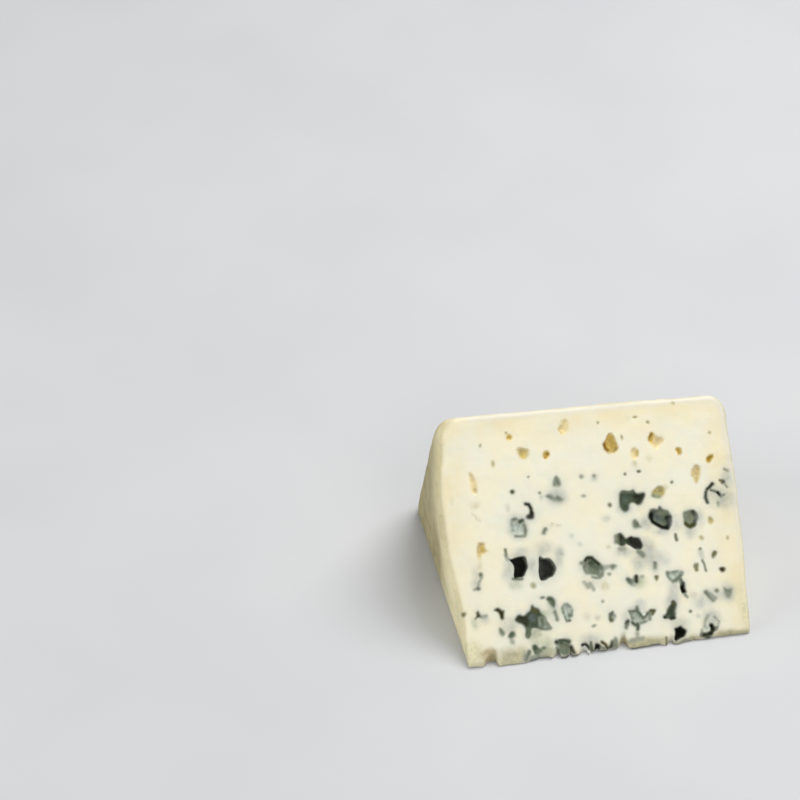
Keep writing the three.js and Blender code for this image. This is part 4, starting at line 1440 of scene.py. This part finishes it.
def add_bake_map(mesh):
    points, polygons = mesh_points(mesh), mesh.polygons
    centres, normals = np.empty((2, len(polygons), 3), np.float32)
    polygons.foreach_get("center", centres.ravel())
    polygons.foreach_get("normal", normals.ravel())
    corners = np.empty(len(mesh.loops), np.int32)
    mesh.loops.foreach_get("vertex_index", corners)
    sizes = np.empty(len(polygons), np.int32)
    polygons.foreach_get("loop_total", sizes)

    origin = np.array((MIDDLE_X, AXIS_Y, 0))
    side = chart_scores(*(centres / MM - origin).T, normals.T).argmax(0).repeat(sizes)
    places = chart_coordinates(*(points - origin).T)[side, :, corners]
    for number, chart in enumerate(CHARTS):
        here = side == number
        spread = places[here][:, ::-1] if chart.turned else places[here]
        places[here] = np.array(chart.corner) + spread * chart.scale
    mesh.uv_layers.new(name=BAKE_MAP).uv.foreach_set("vector", places.astype(np.float32).ravel())


# ---------------------------------------------------------------- materials

PASTE = linear(244, 237, 209)
PASTE_COOL = linear(239, 236, 216)
PASTE_WARM = linear(238, 225, 180)
RIND_PALE = linear(232, 224, 197)
RIND = linear(218, 208, 176)
END_PALE = linear(231, 222, 183)
END = linear(217, 207, 166)
# painted shade, at its darkest low down and far back on the left end
RIND_SHADE = linear(114, 104, 66)
RIND_LINE = linear(190, 182, 150)
LINES_PER_MM = 0.7
BLOOM = linear(190, 197, 188)
# a painted highlight along the top and right edges
EDGE_HIGHLIGHT = linear(232, 227, 209)
# painted shade on the blunt tip and on its broken wall
TIP_SHADE = linear(222, 212, 172)
WALL_SHADE = linear(196, 190, 158)
TIP_LIP = linear(222, 216, 200)
FLOOR_DARKER = linear(200, 202, 204)
FLOOR_LIGHTER = linear(205, 206, 207)

SPECK_COVER = 0.45
LINE_COVER = 0.4
RIND_DULLNESS = 0.8  # beside that of mould
CUT_ROUGH = (0.42, 0.6)
DULL_ROUGH = 0.92
FLOOR_ROUGH = 0.7
CUT_SHINE = 0.4
DULL_SHINE = 0.05
WIDE_GRAIN = 0.6  # beside the fine grain
GRAIN_STRENGTH = 0.35
GRAIN_HEIGHT = 0.15
GLOW = 0.3  # how much light goes through the paste
GLOW_REACH = (1.0, 0.75, 0.45)  # millimetres, of its red, green and blue


class Shader:
    """Short names for making and joining the nodes of one material."""

    def __init__(self, name):
        self.material = bpy.data.materials.new(name)
        self.material.use_nodes = True
        self.tree = self.material.node_tree
        self.tree.nodes.clear()
        self.place = self.node("ShaderNodeTexCoord").outputs["Object"]

    def node(self, kind, inputs=None, **settings):
        """A node, with each input set to a value or joined to a socket."""
        made = self.tree.nodes.new(kind)
        for key, value in settings.items():
            setattr(made, key, value)
        for key, value in (inputs or {}).items():
            if isinstance(value, bpy.types.NodeSocket):
                self.tree.links.new(value, made.inputs[key])
            else:
                made.inputs[key].default_value = value
        return made

    def attribute(self, name, output="Fac"):
        return self.node("ShaderNodeAttribute", attribute_name=name).outputs[output]

    def noise(self, size, detail=3.0, roughness=0.55):
        """Noise whose lumps are about that many millimetres across."""
        made = self.node(
            "ShaderNodeTexNoise",
            {"Vector": self.place, "Scale": 1 / (size * MM), "Detail": detail, "Roughness": roughness},
        )
        return made.outputs["Fac"]

    def math(self, operation, first, second):
        return self.node("ShaderNodeMath", {0: first, 1: second}, operation=operation).outputs[0]

    def span(self, value, low, high, to_low=0.0, to_high=1.0):
        made = self.node(
            "ShaderNodeMapRange",
            {"Value": value, "From Min": low, "From Max": high, "To Min": to_low, "To Max": to_high},
            interpolation_type="SMOOTHSTEP",
        )
        return made.outputs["Result"]

    def patches(self, size, least=0.0, most=1.0, detail=3.0, roughness=0.55, spread=0.2):
        """Patches of about that many millimetres, from least to most, with sharper edges the less
        the spread."""
        return self.span(self.noise(size, detail, roughness), 0.5 - spread, 0.5 + spread, least, most)

    def mix(self, share, first, second):
        return self.node("ShaderNodeMix", {0: share, 6: first, 7: second}, data_type="RGBA").outputs[2]

    def shine_through(self, share, amount, under, over):
        """over on top of under, as far as its share and an uneven amount allow."""
        return self.mix(self.math("MULTIPLY", share, amount), under, over)

    def finished(self, inputs):
        """The material, with a surface that has those inputs."""
        surface = self.node("ShaderNodeBsdfPrincipled", inputs)
        self.node("ShaderNodeOutputMaterial", {"Surface": surface.outputs["BSDF"]})
        return self.material


def paste_colour(s):
    base = s.mix(s.patches(14, detail=2.0, spread=0.15), PASTE, PASTE_COOL)
    return s.shine_through(s.attribute("near_rind"), s.patches(8, 0.35, 1.0, detail=2.0), base, PASTE_WARM)


def rind_colour(s):
    """Beige with soft mottling. The flat ends are yellower, with fine lines, and darkened by painted shade.
    """
    blotches, ends = s.patches(9), s.attribute("ends")
    colour = s.mix(ends, s.mix(blotches, RIND_PALE, RIND), s.mix(blotches, END_PALE, END))
    specks = s.span(s.noise(1.8, 4.0, 0.65), 0.54, 0.72, 0.0, SPECK_COVER)
    colour = s.mix(specks, colour, RIND_LINE)
    inputs = {"W": s.attribute("under"), "Scale": LINES_PER_MM}
    lines = s.node("ShaderNodeTexNoise", inputs, noise_dimensions="1D").outputs["Fac"]
    colour = s.shine_through(s.span(lines, 0.5, 0.8, 0.0, LINE_COVER), ends, colour, RIND_LINE)
    # painted shade over the lower, further parts of the ends
    return s.shine_through(s.attribute("end_shade"), s.patches(6, 0.8, 1.0), colour, RIND_SHADE)


def cut_colour(s):
    """The paste, with a painted highlight round the top, and painted shade, a tan, towards the tip."""
    colour = s.mix(s.attribute("edge"), paste_colour(s), EDGE_HIGHLIGHT)
    # painted shade, a tan, towards the tip
    return s.shine_through(s.attribute("tip"), s.patches(5, 0.3, 0.9, detail=2.0), colour, TIP_SHADE)


def stained(s, clean):
    """Bloom and mould over the clean colour."""
    colour = s.shine_through(s.attribute("bloom"), s.patches(2.4, 0.55, 1.0), clean, BLOOM)
    specks = s.patches(0.5, 0.93, 1.06, roughness=0.7, spread=0.25)
    uneven = s.math("MULTIPLY", s.patches(1.6, 0.84, 1.14), specks)
    inputs = {0: s.attribute("stain", "Color"), "Scale": uneven}
    mottled = s.node("ShaderNodeVectorMath", inputs, operation="SCALE")
    return s.mix(s.attribute("cover"), colour, mottled.outputs[0])


def cheese_material():
    s = Shader("cheese")
    # the rind attribute also lays painted shade along the slope's left edge
    clean = s.mix(s.attribute("rind"), cut_colour(s), rind_colour(s))
    # painted shade on the tip's broken wall
    clean = s.mix(s.attribute("wall"), clean, WALL_SHADE)
    clean = s.mix(s.attribute("lip"), clean, TIP_LIP)
    dull = s.math("MAXIMUM", s.attribute("cover"), s.math("MULTIPLY", s.attribute("rind"), RIND_DULLNESS))
    grain = s.math("ADD", s.noise(0.5, 4.0, 0.6), s.math("MULTIPLY", s.noise(2.0, 2.0), WIDE_GRAIN))
    bump = s.node("ShaderNodeBump", {
        "Height": grain,
        "Strength": GRAIN_STRENGTH,
        "Distance": GRAIN_HEIGHT * MM,
    })
    return s.finished({
        "Base Color": stained(s, clean),
        "Roughness": s.math("MAXIMUM", s.patches(3.0, *CUT_ROUGH), s.math("MULTIPLY", dull, DULL_ROUGH)),
        "Subsurface Weight": GLOW,
        "Subsurface Radius": GLOW_REACH,
        "Subsurface Scale": 1.0 * MM,
        "Specular IOR Level": s.span(dull, 0.0, 1.0, CUT_SHINE, DULL_SHINE),
        "Normal": bump.outputs["Normal"],
    })


def floor_material():
    s = Shader("pale_floor")
    tone = s.mix(s.patches(90, detail=2.0), FLOOR_DARKER, FLOOR_LIGHTER)
    return s.finished({"Base Color": tone, "Roughness": FLOOR_ROUGH})


# ---------------------------------------------------------------- floor, lights and camera

FLOOR_HALF = 3.0  # metres
# Each light's name, place, size and power, in metres and watts.
Light = namedtuple("Light", "name place size power")
LIGHTS = [
    Light("key", (0.4, 0.3, 1.0), 0.7, 9.0),
    Light("fill", (0.1, -0.9, 0.9), 0.9, 3.95),
    Light("left", (-1.1, -0.1, 0.25), 0.8, 5.5),
]
LIGHTS_AIM = (0, 0, 0.03)  # about the middle of the wedge
WORLD_STRENGTH = 0.35


def make_floor():
    mesh = bpy.data.meshes.new("floor")
    corners = [(FLOOR_HALF * i, FLOOR_HALF * j, 0) for i, j in ((-1, -1), (1, -1), (1, 1), (-1, 1))]
    mesh.from_pydata(corners, [], [(0, 1, 2, 3)])
    mesh.materials.append(floor_material())
    floor = bpy.data.objects.new("floor", mesh)
    bpy.context.scene.collection.objects.link(floor)


def make_light(light):
    data = bpy.data.lights.new(light.name, "AREA")
    data.shape, data.size, data.energy = "DISK", light.size, light.power
    obj = bpy.data.objects.new(light.name, data)
    obj.location = light.place
    obj.rotation_euler = (Vector(LIGHTS_AIM) - Vector(light.place)).to_track_quat("-Z", "Y").to_euler()
    bpy.context.scene.collection.objects.link(obj)


def make_world():
    world = bpy.data.worlds.new("studio")
    world.use_nodes = True
    background = world.node_tree.nodes["Background"]
    background.inputs["Color"].default_value = (1, 1, 1, 1)
    background.inputs["Strength"].default_value = WORLD_STRENGTH
    bpy.context.scene.world = world


def make_camera():
    data = bpy.data.cameras.new("camera")
    data.lens = CAMERA_LENS
    data.clip_end = CAMERA_SEES
    camera = bpy.data.objects.new("camera", data)
    turn = Matrix((CAMERA_RIGHT, CAMERA_UP, -CAMERA_FORWARD)).transposed().to_4x4()
    place = (CAMERA_EYE + Vector((MIDDLE_X, AXIS_Y, 0))) * MM
    camera.matrix_world = Matrix.Translation(place) @ turn
    bpy.context.scene.collection.objects.link(camera)
    bpy.context.scene.camera = camera


# ---------------------------------------------------------------- the scene

cheese = build_cheese()
paint(cheese)
add_bake_map(cheese.data)
cheese.data.materials.append(cheese_material())
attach(cheese, "root")
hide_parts("wedge")

make_floor()
for light in LIGHTS:
    make_light(light)
make_world()
make_camera()
bpy.context.scene.view_settings.view_transform = "Standard"
